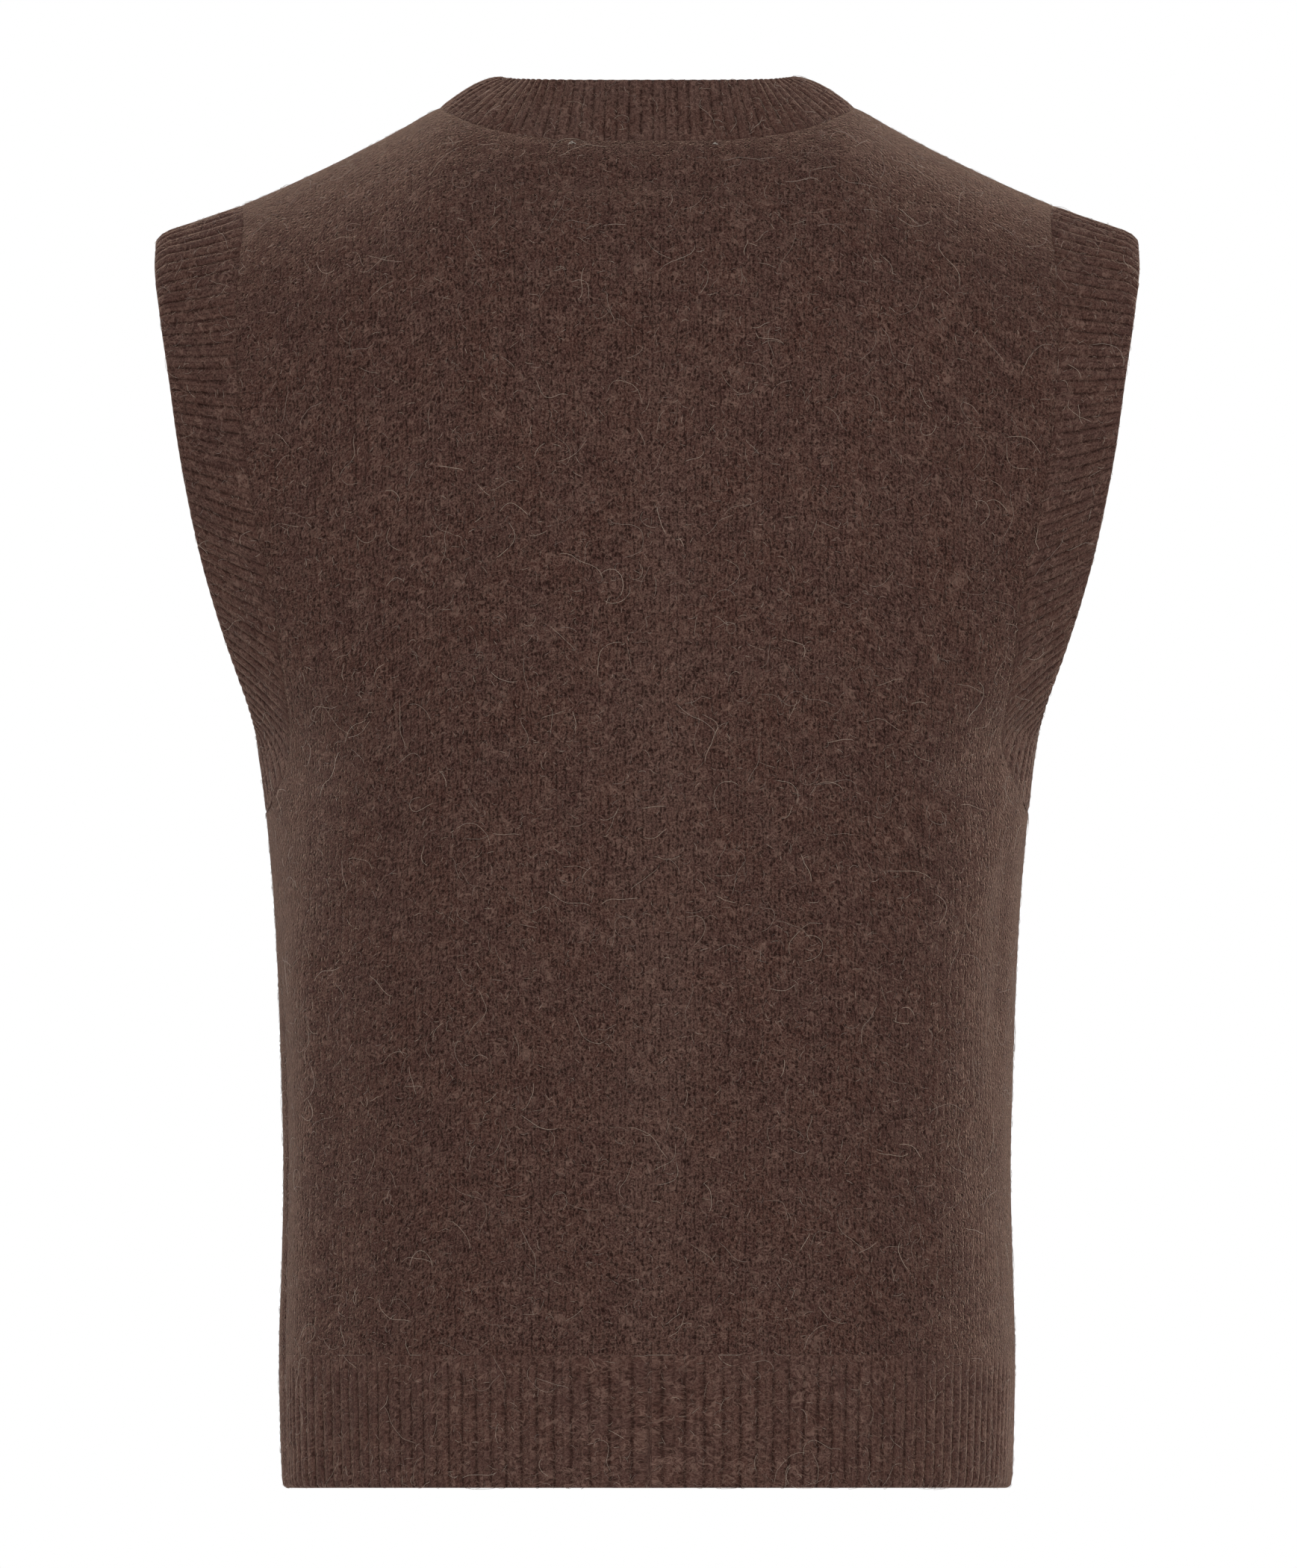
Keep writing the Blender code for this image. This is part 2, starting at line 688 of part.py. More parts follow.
def drill_object():
    """Round cutters in a square, joined in one object."""
    shape = bmesh.new()
    for turn in range(BUTTON_HOLES):
        angle = (turn + 0.5) * math.tau / BUTTON_HOLES
        made = bmesh.ops.create_cone(
            shape, cap_ends=True, segments=HOLE_SIDES, radius1=BUTTON_HOLE_RADIUS,
            radius2=BUTTON_HOLE_RADIUS, depth=BUTTON_THICK * 4)
        shift = Vector((math.cos(angle), math.sin(angle), 0)) * BUTTON_HOLE_PITCH
        bmesh.ops.translate(shape, verts=made["verts"], vec=shift)
    mesh = bpy.data.meshes.new("thread_drills")
    shape.to_mesh(mesh)
    shape.free()
    drills = bpy.data.objects.new("thread_drills", mesh)
    cutters = bpy.data.collections.new("cutters")
    bpy.context.scene.collection.children.link(cutters)
    cutters.objects.link(drills)
    drills.hide_render = True
    drills.display_type = "WIRE"
    return drills


def make_buttons(collection, material):
    mesh = button_mesh(collection, material)
    back_face = LAP_OFFSET + WALL / 2 + SEAM_GAP
    for count in range(BUTTON_COUNT):
        z = blend(BUTTON_TOP_Z, BUTTON_LOW_Z, count / (BUTTON_COUNT - 1))
        drop = ridge_z(0.0) - z
        outward = surface_normal(math.pi / 2, drop, -1)
        button = bpy.data.objects.new(f"button_{count + 1}", mesh)
        collection.objects.link(button)
        button.location = form_at(0.0, z, -1) + outward * back_face
        button.rotation_euler = outward.to_track_quat("Z", "Y").to_euler()


# ---------------------------------------------------------------- the whole
def plain_material(name, colour, roughness):
    material = bpy.data.materials.new(name)
    material.use_nodes = True
    shader = material.node_tree.nodes["Principled BSDF"]
    shader.inputs["Base Color"].default_value = colour
    shader.inputs["Roughness"].default_value = roughness
    shader.inputs["Metallic"].default_value = 0.0
    return material


def knit_material(name):
    return plain_material(f"{name}_wool", COLOURS["knit"], 0.95)


def main():
    for old in list(bpy.data.objects):
        bpy.data.objects.remove(old)
    cardigan = bpy.data.collections.new("cardigan")
    bpy.context.scene.collection.children.link(cardigan)
    make_back(cardigan, knit_material("back"))
    make_front(cardigan, knit_material("front_left"), "front_left", 1)
    make_front(cardigan, knit_material("front_right"), "front_right", -1)
    make_hem_ribs(cardigan, knit_material("hem_rib"))
    make_armhole_band(cardigan, knit_material("armhole_band_left"), "armhole_band_left", 1)
    make_armhole_band(cardigan, knit_material("armhole_band_right"), "armhole_band_right", -1)
    make_neck_band(cardigan, knit_material("neck_band"))
    make_front_band(cardigan, knit_material("button_band"), "button_band", 1, -1)
    make_front_band(cardigan, knit_material("buttonhole_band"), "buttonhole_band", -1, 1)
    make_buttons(cardigan, plain_material("button_horn", COLOURS["button"], 0.35))


main()
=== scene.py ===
"""Brown sleeveless V-neck cardigan in brushed wool knit, worn and hollow.

The file is laid out as a Blender add-on: property groups hold the sizes and colours that
a maker would change, one operator knits or sews each piece or group of like pieces, and
a panel in the sidebar lists them in their order. Everything is in metres, +Z up, with
the garment's front towards -Y and +X on the wearer's left. The origin is midway between
the neck ends of the shoulder seams.
"""
import json
import math

import bmesh
import bpy
import numpy as np
from bpy.props import FloatProperty, FloatVectorProperty, IntProperty, PointerProperty
from mathutils import Matrix, Vector
from mathutils.bvhtree import BVHTree

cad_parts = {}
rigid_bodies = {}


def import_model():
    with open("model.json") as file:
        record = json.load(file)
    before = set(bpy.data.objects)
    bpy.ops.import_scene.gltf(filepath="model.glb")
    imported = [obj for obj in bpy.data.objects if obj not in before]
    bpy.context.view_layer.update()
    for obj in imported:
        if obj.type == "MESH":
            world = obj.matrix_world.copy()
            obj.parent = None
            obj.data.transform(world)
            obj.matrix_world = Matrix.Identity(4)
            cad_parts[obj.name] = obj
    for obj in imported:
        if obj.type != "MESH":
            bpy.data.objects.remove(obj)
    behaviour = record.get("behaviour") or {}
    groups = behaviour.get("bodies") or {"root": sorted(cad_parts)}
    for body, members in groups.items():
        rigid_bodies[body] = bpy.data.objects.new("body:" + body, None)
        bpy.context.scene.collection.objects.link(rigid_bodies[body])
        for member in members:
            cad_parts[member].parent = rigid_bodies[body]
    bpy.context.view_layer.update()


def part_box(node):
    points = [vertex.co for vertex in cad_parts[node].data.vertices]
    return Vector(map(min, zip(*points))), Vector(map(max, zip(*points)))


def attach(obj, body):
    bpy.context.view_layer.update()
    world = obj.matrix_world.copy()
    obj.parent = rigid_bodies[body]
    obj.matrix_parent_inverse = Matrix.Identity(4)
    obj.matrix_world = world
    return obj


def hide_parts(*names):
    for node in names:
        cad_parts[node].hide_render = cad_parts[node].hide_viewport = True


bl_info = {
    "name": "Brushed Knit Cardigan",
    "version": (1, 0, 0),
    "blender": (4, 5, 0),
    "location": "View3D > Sidebar > Cardigan",
    "description": "Knits and sews a sleeveless cardigan, piece by piece, round its frame",
    "category": "Object",
}

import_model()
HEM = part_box("hem_rib_back")[0].z
BODY = "root"

# ---------------------------------------------------------------- the garment's form
WALL = 0.0025             # the frame's own wall
NECK_HALF_WIDTH = 0.088   # to the neck end of a shoulder seam
NECK_BACK_DROP = 0.0135   # centre back neck below the shoulder seam's neck end
NECK_BACK_POWER = 3.5     # how squarely the back neck seam turns up at the shoulders
NECK_BAND = 0.0315        # width of the neck rib, before its curve takes some up
NECK_TOP_Z = 0.0137       # its free edge stands level at this height round the back
NECK_LIFT = math.radians(10)  # how far it rises out of the cloth's own surface
SHOULDER_LIFT = math.radians(8)   # so much more where it passes over the shoulder
NECK_TURN = math.radians(-36) # and how far it turns down again beside the V
NECK_BEND = (0.35, 0.70)  # share of its width that it bends at: centre back, shoulder
FRONT_BAND = 0.030        # width of a front band
V_DROP = 0.262            # where the V's seams come straight, below the shoulder ridge
V_POWER = 1.25
LAP_OFFSET = 0.00145      # how far each fastened front band lies from the form
LAP_FADE = (0.100, 0.175) # drops between which the bands come to lap
SETTLE = (0.015, 0.080)   # drops between which the neck's rib settles on the form
PAST_SHOULDER = 0.030     # drop by which its turn no longer keeps its edge level
RIB_TOP_Z = -0.5295       # seam between the panels and the hem ribs
SIDE_TOP_Z = -0.2985      # top of the side seams
UNDERARM_Z = -0.2655      # lowest point of the armhole's rim
ROLL = 0.120              # height over which the cloth rolls from the ridge to its full depth
ARM_GAP_MID_Z = -0.159
ARM_GAP = {1: 0.050, -1: 0.046}   # half gap of the armhole: back, front
SHOULDER_X = 0.1725
RIM_TOP_X = 0.2072
BACK, FRONT = 1, -1       # the two sides of the body, as the sign of Y
RIDGE_PASSES = 4
STEP = 0.001              # short step for a surface's direction
OUTWARD_LIFT = 0.05       # tells a surface's outer face, with a point's own x and y
GIRTH_STEPS = 40          # straight steps that measure the way round a level section


class SmoothTable:
    """Cubic curves through a table's rows, each read by its column's name."""

    def __init__(self, columns, rows):
        data = np.array(sorted(rows))
        self.keys = data[:, 0]
        self.values = dict(zip(columns[1:], data.T[1:]))
        self.slopes = {name: np.gradient(v, self.keys) for name, v in self.values.items()}

    def read(self, name, at):
        keys, values, slopes = self.keys, self.values[name], self.slopes[name]
        at = np.clip(at, keys[0], keys[-1])
        low = np.clip(np.searchsorted(keys, at, side="right") - 1, 0, len(keys) - 2)
        span = keys[low + 1] - keys[low]
        part = (at - keys[low]) / span
        square = part * part
        cube = square * part
        return (values[low] * (2 * cube - 3 * square + 1)
                + slopes[low] * span * (cube - 2 * square + part)
                + values[low + 1] * (3 * square - 2 * cube)
                + slopes[low + 1] * span * (cube - square))


# Level sections of the worn cardigan, over the cloth: to the armhole's rim above the
# underarm, and to the side seam below it. squareness 2 is an ellipse.
SECTIONS = SmoothTable(("z", "half_width", "back_depth", "front_depth", "squareness"), (
    (-0.0000, 0.2080, 0.0920, 0.0880, 1.70),
    (-0.0530, 0.2085, 0.0970, 0.0925, 1.70),
    (-0.0610, 0.2097, 0.0980, 0.0935, 1.70),
    (-0.0860, 0.2077, 0.1005, 0.0960, 1.70),
    (-0.1145, 0.2038, 0.1030, 0.0990, 1.70),
    (-0.1430, 0.1998, 0.1055, 0.1020, 1.70),
    (-0.1717, 0.1944, 0.1075, 0.1055, 1.70),
    (-0.2003, 0.1876, 0.1090, 0.1090, 1.72),
    (-0.2194, 0.1820, 0.1097, 0.1115, 1.80),
    (-0.2385, 0.1755, 0.1100, 0.1135, 1.90),
    (-0.2528, 0.1703, 0.1100, 0.1145, 2.00),
    (-0.2655, 0.1667, 0.1097, 0.1150, 2.08),
    (-0.2767, 0.1649, 0.1093, 0.1153, 2.15),
    (-0.2957, 0.1627, 0.1085, 0.1150, 2.25),
    (-0.3339, 0.1592, 0.1062, 0.1130, 2.35),
    (-0.3721, 0.1571, 0.1040, 0.1105, 2.40),
    (-0.4102, 0.1558, 0.1022, 0.1082, 2.40),
    (-0.4484, 0.1549, 0.1015, 0.1068, 2.40),
    (-0.4865, 0.1556, 0.1022, 0.1065, 2.40),
    (-0.5295, 0.1568, 0.1040, 0.1070, 2.40),
    (-0.5629, 0.1562, 0.1045, 0.1070, 2.40),
    (-0.5860, 0.1554, 0.1042, 0.1065, 2.40),
))

# Crest line of the shoulders over the cloth, from the middle of the neck outwards.
RIDGE = SmoothTable(("x", "z"), (
    (0.0000, 0.0085),
    (0.0400, 0.0080),
    (0.0700, 0.0056),
    (0.0880, 0.0018),
    (0.1038, -0.0068),
    (0.1197, -0.0153),
    (0.1436, -0.0270),
    (0.1675, -0.0376),
    (0.1913, -0.0464),
    (0.2000, -0.0493),
    (0.2055, -0.0516),
    (0.2090, -0.0552),
))

# Seam between a panel and its armhole band: share of the way from the shoulder down to
# the underarm, and its angle round the section in degrees.
ARM_SEAM = SmoothTable(("share", "angle"), (
    (0.00, 45.3),
    (0.10, 45.5),
    (0.20, 45.0),
    (0.30, 43.2),
    (0.40, 42.0),
    (0.50, 41.2),
    (0.60, 38.8),
    (0.70, 31.2),
    (0.80, 22.8),
    (0.87, 16.8),
    (0.93, 9.6),
    (1.00, 0.0),
))
ARM_SEAM_TOP = math.radians(45.3)


def blend(low, high, part):
    return low + (high - low) * part


def smooth_step(part):
    part = np.clip(part, 0.0, 1.0)
    return part * part * (3 - 2 * part)


def unit(vectors):
    return vectors / np.maximum(np.linalg.norm(vectors, axis=-1, keepdims=True), 1e-12)


def rounded(value, power):
    """A section's cosine or sine, which grows squarer as its power rises above 2."""
    return np.maximum(value, 0.0) ** (2 / power)


def squareness(z):
    return SECTIONS.read("squareness", z)


def rim_half_width(z):
    return SECTIONS.read("half_width", z) - WALL / 2


def ridge_z(x):
    return RIDGE.read("z", np.abs(x)) - WALL / 2


def arm_gap(z, side):
    """Half gap of the armhole at a height, before the shoulder's roll: 0 below it."""
    fall = np.clip((ARM_GAP_MID_Z - z) / (ARM_GAP_MID_Z - UNDERARM_Z), 0.0, 1.0)
    return ARM_GAP[side] * np.sqrt(1 - fall * fall)


def depth(z, side):
    return SECTIONS.read("back_depth" if side == BACK else "front_depth", z) - WALL / 2


def spread(z, side):
    """Half width at which a section would close, if the armhole did not cut it."""
    power = squareness(z)
    cut = arm_gap(z, side) / depth(z, side)
    return rim_half_width(z) / (1 - cut ** power) ** (1 / power)


def roll(drop):
    part = 1 - np.clip(drop / ROLL, 0.0, 1.0)
    return np.sqrt(1 - part * part)


def form_depth(angle, drop, z, side):
    """How far the form lies behind or before the shoulder ridge."""
    return depth(z, side) * rounded(np.sin(angle), squareness(z)) * roll(drop)


def form_point(angle, drop, side):
    """Mid-cloth points at angles round the section and drops below the shoulder ridge.

    The angle is 90 degrees at the centre and 0 where the section closes at the side.
    """
    angle, drop = np.broadcast_arrays(np.asarray(angle, float), np.asarray(drop, float))
    lean = np.cos(angle)
    x = np.zeros_like(angle)
    for _ in range(RIDGE_PASSES):
        z = ridge_z(x) - drop
        x = spread(z, side) * rounded(lean, squareness(z))
    return np.stack([x, side * form_depth(angle, drop, z, side), z], axis=-1)


def angle_at(x, z, side):
    part = np.clip(x / spread(z, side), 0.0, 1.0)
    return np.arccos(part ** (squareness(z) / 2))


def arc_of(drop):
    """Length along the roll from the ridge down to a drop."""
    rolled = ROLL * np.arccos(np.clip(1 - np.maximum(drop, 0.0) / ROLL, -1.0, 1.0))
    return np.where(drop < ROLL, rolled, ROLL * math.pi / 2 + drop - ROLL)


def drop_of(arc):
    rolled = ROLL * (1 - np.cos(np.minimum(arc / ROLL, math.pi)))
    return np.where(arc < ROLL * math.pi / 2, rolled, arc - ROLL * math.pi / 2 + ROLL)


def form_normal(angle, drop, side):
    """Outward normals of the form at angles and drops, for x of 0 or more."""
    here = form_point(angle, drop, side)
    across = form_point(np.maximum(angle - STEP, 0.0), drop, side)
    across = across - form_point(np.minimum(angle + STEP, math.pi / 2), drop, side)
    down = form_point(angle, drop_of(arc_of(drop) + STEP), side)
    down = down - form_point(angle, drop_of(np.maximum(arc_of(drop) - STEP, 0.0)), side)
    normal = unit(np.cross(across, down))
    outward = np.stack([here[..., 0], here[..., 1], np.full(here.shape[:-1], OUTWARD_LIFT)], -1)
    facing = np.sign(np.sum(normal * outward, axis=-1, keepdims=True))
    return normal * facing


def girth_at(angle, z, side):
    """Way round a level section from the centre line out to an angle, in metres."""
    parts = np.linspace(0.0, 1.0, GIRTH_STEPS + 1)
    sweep = math.pi / 2 + (angle[..., None] - math.pi / 2) * parts
    power = squareness(z)[..., None]
    x = spread(z, side)[..., None] * rounded(np.cos(sweep), power)
    y = depth(z, side)[..., None] * rounded(np.sin(sweep), power)
    return np.hypot(np.diff(x), np.diff(y)).sum(axis=-1)


# ---------------------------------------------------------------- seam lines
RIM_TOP_Z = float(ridge_z(rim_half_width(ridge_z(RIM_TOP_X))))
SIDE_DROP = float(ridge_z(rim_half_width(SIDE_TOP_Z)) - SIDE_TOP_Z)
V_FOOT_DROP = float(ridge_z(FRONT_BAND / 2) - SIDE_TOP_Z)


def neck_seam_drop(x):
    """Drop of the back neck seam below the ridge, for x out to the shoulder seam."""
    part = np.minimum(np.abs(x) / NECK_HALF_WIDTH, 1.0)
    z = ridge_z(NECK_HALF_WIDTH) - NECK_BACK_DROP * (1 - part ** NECK_BACK_POWER)
    return np.maximum(ridge_z(x) - z, 0.0)


def front_seam_point(fall):
    """Seam of the front band above the side seams: the V, then straight down."""
    drop = drop_of(arc_of(V_FOOT_DROP) * fall)
    rise = np.maximum(1 - drop / V_DROP, 0.0)
    x = FRONT_BAND / 2 + (NECK_HALF_WIDTH - FRONT_BAND / 2) * rise ** V_POWER
    return angle_at(x, ridge_z(x) - drop, FRONT), drop


def arm_seam_point(fall, side):
    """Angle, drop and share of the way round of the armhole seam, at a share of the fall."""
    drop = drop_of(arc_of(SIDE_DROP) * fall)
    share = np.arccos(np.clip(1 - 2 * drop / SIDE_DROP, -1.0, 1.0)) / math.pi
    angle = np.radians(ARM_SEAM.read("angle", share))
    at_shoulder = angle_at(SHOULDER_X, ridge_z(SHOULDER_X), side)
    return angle + (at_shoulder - ARM_SEAM_TOP) * (1 - smooth_step(share * 2)), drop, share


def arm_rim_point(share, side):
    """Angle and drop of the armhole's rim, for a share of the way down."""
    z = blend(RIM_TOP_Z, UNDERARM_Z, (1 - np.cos(math.pi * share)) / 2)
    cut = arm_gap(z, side) / depth(z, side)
    angle = np.arcsin(cut ** (squareness(z) / 2))
    return angle, np.maximum(ridge_z(rim_half_width(z)) - z, 0.0)


def back_top(part):
    """Angle and drop of the back's top edge: the neck seam, then the shoulder seam."""
    round_neck = NECK_HALF_WIDTH * np.sin(math.pi * np.minimum(part, 0.5))
    along_shoulder = blend(NECK_HALF_WIDTH, SHOULDER_X, part * 2 - 1)
    x = np.where(part <= 0.5, round_neck, along_shoulder)
    drop = neck_seam_drop(x)
    return angle_at(x, ridge_z(x) - drop, BACK), drop


def front_top(part):
    x = blend(NECK_HALF_WIDTH, SHOULDER_X, part)
    return angle_at(x, ridge_z(x), FRONT), np.zeros_like(x)


# ---------------------------------------------------------------- places on the form
EDGE_LINES = (0.0003, 0.0008, 0.0015)     # grid lines that round an edge


def graded(length, spacing, first=False, last=False, multiple=1):
    """Shares along a length at about a spacing, with more lines by a rounded edge."""
    near = len(EDGE_LINES) * (int(first) + int(last))
    count = max(int(round(length / spacing)), 2) + near
    count += (-count) % multiple - near
    parts = list(np.linspace(0.0, 1.0, count + 1))
    if first:
        start = parts[1]
        parts[1:1] = [min(d / length, start * (k + 1) / 4) for k, d in enumerate(EDGE_LINES)]
    if last:
        start = 1 - parts[-2]
        parts[-1:-1] = [1 - min(d / length, start * (k + 1) / 4)
                        for k, d in reversed(list(enumerate(EDGE_LINES)))]
    return np.array(parts)


def panel_places(side, parts, falls, heights):
    """Angles and drops of a panel's grid: above the side seams, then level rows below."""
    inner = math.pi / 2 if side == BACK else front_seam_point(falls)[0][:, None]
    outer = arm_seam_point(falls, side)[0][:, None]
    top_angle, top_drop = back_top(parts) if side == BACK else front_top(parts)
    top_part = (top_angle - top_angle[0]) / (top_angle[-1] - top_angle[0])
    _, foot_drop = level_places(side, parts, np.array([SIDE_TOP_Z]))
    settled = smooth_step(falls * 2)[:, None]
    angle = blend(inner, outer, blend(top_part[None, :], parts[None, :], settled))
    drop = drop_of(blend(arc_of(top_drop)[None, :], arc_of(foot_drop), falls[:, None]))
    low_angle, low_drop = level_places(side, parts, heights)
    return np.concatenate([angle, low_angle]), np.concatenate([drop, low_drop])


def level_places(side, parts, heights):
    """Angles and drops on level sections, from the centre or front band to the side."""
    z = heights[:, None]
    inner = math.pi / 2 if side == BACK else angle_at(FRONT_BAND / 2, z, side)
    angle = inner * (1 - parts[None, :])
    x = spread(z, side) * rounded(np.cos(angle), squareness(z))
    return np.broadcast_to(angle, x.shape), ridge_z(x) - z


def armhole_places(side, falls, across):
    """Angles and drops across the armhole band, from its seam out to the rim."""
    seam_angle, seam_drop, share = arm_seam_point(falls, side)
    rim_angle, rim_drop = arm_rim_point(share, side)
    angle = blend(seam_angle[:, None], rim_angle[:, None], across[None, :])
    return angle, blend(seam_drop[:, None], rim_drop[:, None], across[None, :])


class Cloth:
    """A grid of mid-cloth points with its normals and its place on the garment.

    girth is the signed way round from the centre line and fall the way down from the
    shoulder ridge, so that creases and wales run on from piece to piece.
    """

    def __init__(self, points, normals, girth, fall, side):
        self.points = points
        self.normals = normals
        self.girth = girth
        self.fall = fall
        self.side = np.broadcast_to(side, girth.shape)

    @classmethod
    def on_form(cls, angle, drop, side):
        points = form_point(angle, drop, side)
        return cls(points, form_normal(angle, drop, side),
                   girth_at(angle, points[..., 2], side), arc_of(drop), side)

    def fields(self):
        return self.points, self.normals, self.girth, self.fall, self.side

    def mirrored(self):
        flip = np.array([-1.0, 1.0, 1.0])
        return Cloth(self.points * flip, self.normals * flip, -self.girth, self.fall, self.side)

    def rows(self, rows):
        return Cloth(*(field[rows] for field in self.fields()))

    def columns(self, columns):
        return Cloth(*(field[:, columns] for field in self.fields()))

    def joined(self, after, axis=0):
        return Cloth(*(np.concatenate(pair, axis=axis)
                       for pair in zip(self.fields(), after.fields())))

    def worn(self, hand):
        """The grid on one hand of the wearer, or on both sides of its first column for 0."""
        if hand == 0:
            left = self.mirrored().columns(slice(None, None, -1))
            return left.joined(self.columns(slice(1, None)), axis=1)
        return self if hand > 0 else self.mirrored()

    def ways(self):
        """Lengths down each column and along each row, from the grid's first lines."""
        return [np.insert(np.cumsum(np.linalg.norm(
            np.diff(self.points, axis=axis), axis=-1), axis=axis), 0, 0.0, axis=axis)
            for axis in (0, 1)]


# ---------------------------------------------------------------- relief of the cloth
# Soft folds of the worn cloth. girth runs from the centre line towards the wearer's left
# and fall runs down from the shoulder ridge, both in metres; height is over the cloth.
# Each row: side, girth and fall where it starts, where it ends, half width, height.
FOLDS = (
    # back: the spine's soft rise and the hollows beside it
    (BACK, 0.002, 0.140, -0.004, 0.580, 0.024, 0.0020),
    (BACK, 0.098, 0.140, 0.085, 0.360, 0.026, -0.0026),
    (BACK, -0.084, 0.130, -0.074, 0.370, 0.030, -0.0030),
    # back: drag lines from the underarms and over the waist
    (BACK, -0.196, 0.290, -0.060, 0.398, 0.011, -0.0030),
    (BACK, -0.190, 0.338, -0.085, 0.424, 0.011, 0.0020),
    (BACK, 0.196, 0.300, 0.088, 0.378, 0.012, -0.0020),
    (BACK, 0.182, 0.392, 0.105, 0.462, 0.014, 0.0014),
    (BACK, -0.165, 0.478, -0.080, 0.530, 0.015, -0.0014),
    (BACK, -0.172, 0.350, -0.168, 0.450, 0.010, -0.0016),
    (BACK, 0.070, 0.470, 0.030, 0.590, 0.018, -0.0012),
    (BACK, -0.120, 0.180, -0.150, 0.280, 0.014, 0.0012),
    # back: under the neck rib, and the side seam's pleat on the wearer's left
    (BACK, -0.058, 0.098, 0.060, 0.096, 0.008, -0.0018),
    (BACK, 0.159, 0.380, 0.163, 0.760, 0.016, 0.0034),
    (BACK, 0.188, 0.430, 0.191, 0.760, 0.0045, -0.0022),
    # front: from the V and the underarms
    (FRONT, 0.045, 0.230, 0.120, 0.345, 0.014, -0.0024),
    (FRONT, -0.052, 0.215, -0.135, 0.330, 0.016, -0.0026),
    (FRONT, 0.180, 0.315, 0.085, 0.400, 0.012, 0.0018),
    (FRONT, -0.185, 0.320, -0.110, 0.378, 0.011, -0.0020),
    (FRONT, 0.120, 0.430, 0.105, 0.570, 0.020, -0.0016),
    (FRONT, -0.070, 0.400, -0.082, 0.560, 0.024, 0.0015),
    (FRONT, 0.030, 0.330, 0.070, 0.352, 0.009, -0.0014),
    (FRONT, -0.028, 0.455, -0.066, 0.470, 0.010, -0.0016),
)
FOLD_FADE = 3             # a fold fades at each end over its length divided by this


def folds(cloth):
    """Height of the cloth over its plain form, from the listed folds."""
    height = np.zeros(cloth.girth.shape)
    for side, girth_0, fall_0, girth_1, fall_1, half_width, rise in FOLDS:
        run = np.array([girth_1 - girth_0, fall_1 - fall_0])
        length = np.hypot(*run)
        run = run / length
        away = np.stack([cloth.girth - girth_0, cloth.fall - fall_0], axis=-1)
        along = away @ run / length
        off = away @ np.array([-run[1], run[0]])
        ends = (smooth_step(along * FOLD_FADE + 0.5)
                * smooth_step((1 - along) * FOLD_FADE + 0.5))
        height += np.where(cloth.side == side, rise * ends * np.exp(-(off / half_width) ** 2), 0)
    return height


BROAD_FELT = (0.028, 5)   # size of a cell of unevenness, and its seed
CLOSE_FELT = (0.0075, 6)
WALE_FADE = (0.019, 9)
RIB_DRIFT = (0.011, 21)
RIB_SWELL = (0.009, 22)
FRONT_FELT_SHIFT = 0.9    # so the fronts' felt is not the back's mirrored
LATTICE = 64


def unevenness(u, v, cell, seed):
    """Smooth random heights from -1 to 1, about one for each cell of the cloth."""
    lattice = np.random.default_rng(seed).uniform(-1, 1, (LATTICE, LATTICE))
    p, q = u / cell, v / cell
    i, j = np.floor(p).astype(int), np.floor(q).astype(int)
    a, b = smooth_step(p - i), smooth_step(q - j)
    corner = [[lattice[(i + di) % LATTICE, (j + dj) % LATTICE] for dj in (0, 1)]
              for di in (0, 1)]
    return blend(blend(corner[0][0], corner[1][0], a), blend(corner[0][1], corner[1][1], a), b)


def felt_unevenness(cloth):
    knit = bpy.context.scene.cardigan.knit
    where = cloth.girth + np.where(cloth.side == BACK, 0.0, FRONT_FELT_SHIFT)
    broad = unevenness(where, cloth.fall, *BROAD_FELT)
    close = unevenness(where, cloth.fall, *CLOSE_FELT)
    return knit.unevenness * (0.65 * broad + 0.35 * close)


def rib_wave(turns):
    """Wide rounded ridges and narrow valleys, from -1 to 1, one of each a turn."""
    return 1 - 2 * (1 - np.abs(np.sin(math.pi * turns))) ** RIB_POWER


RIM_ROUNDING = 1.3        # radius of a rib's free edge, in half walls
SEAM_REACH = 0.0016       # how far from a seam its stitches pull the cloth in
RIB_POWER = 1.4           # above 1 it narrows a rib's valleys


def edge_rounding(distance):
    """Share of its full thickness that a rib's rounded edge has, so far from its rim."""
    radius = bpy.context.scene.cardigan.knit.half_rib_wall * RIM_ROUNDING
    inwards = 1 - np.clip(distance / radius, 0.0, 1.0)
    return np.sqrt(1 - inwards * inwards)


def nearness(distance, reach):
    """1 on a line, fading softly to 0 about two reaches away from it."""
    return np.exp(-(distance / reach) ** 2)


# ---------------------------------------------------------------- meshes of cloth
KNITTED = "knitted_"      # starts the name of each piece of cloth, before its node's


def linear(colour):
    """Linear RGB of an sRGB hex value such as "#4b3631"."""
    parts = [int(colour[k:k + 2], 16) / 255 for k in (1, 3, 5)]
    return tuple(p / 12.92 if p <= 0.04045 else ((p + 0.055) / 1.055) ** 2.4 for p in parts)


def new_object(name, data):
    made = bpy.data.objects.new(name, data)
    bpy.context.scene.collection.objects.link(made)
    return made


def read_all(items, name, kind=np.int32, width=1):
    """One property of all of a mesh's vertices, corners or faces."""
    values = np.zeros(len(items) * width, dtype=kind)
    items.foreach_get(name, values)
    return values


def rim_faces(fine, plain, coarse, flipped):
    """Faces along a rim, each between one line of the plain edge and more of the fine."""
    faces = []
    for k in range(len(plain) - 1):
        face = [*fine[k * coarse:(k + 1) * coarse + 1].tolist(), int(plain[k + 1]), int(plain[k])]
        faces.append(face[::-1] if flipped else face)
    return faces


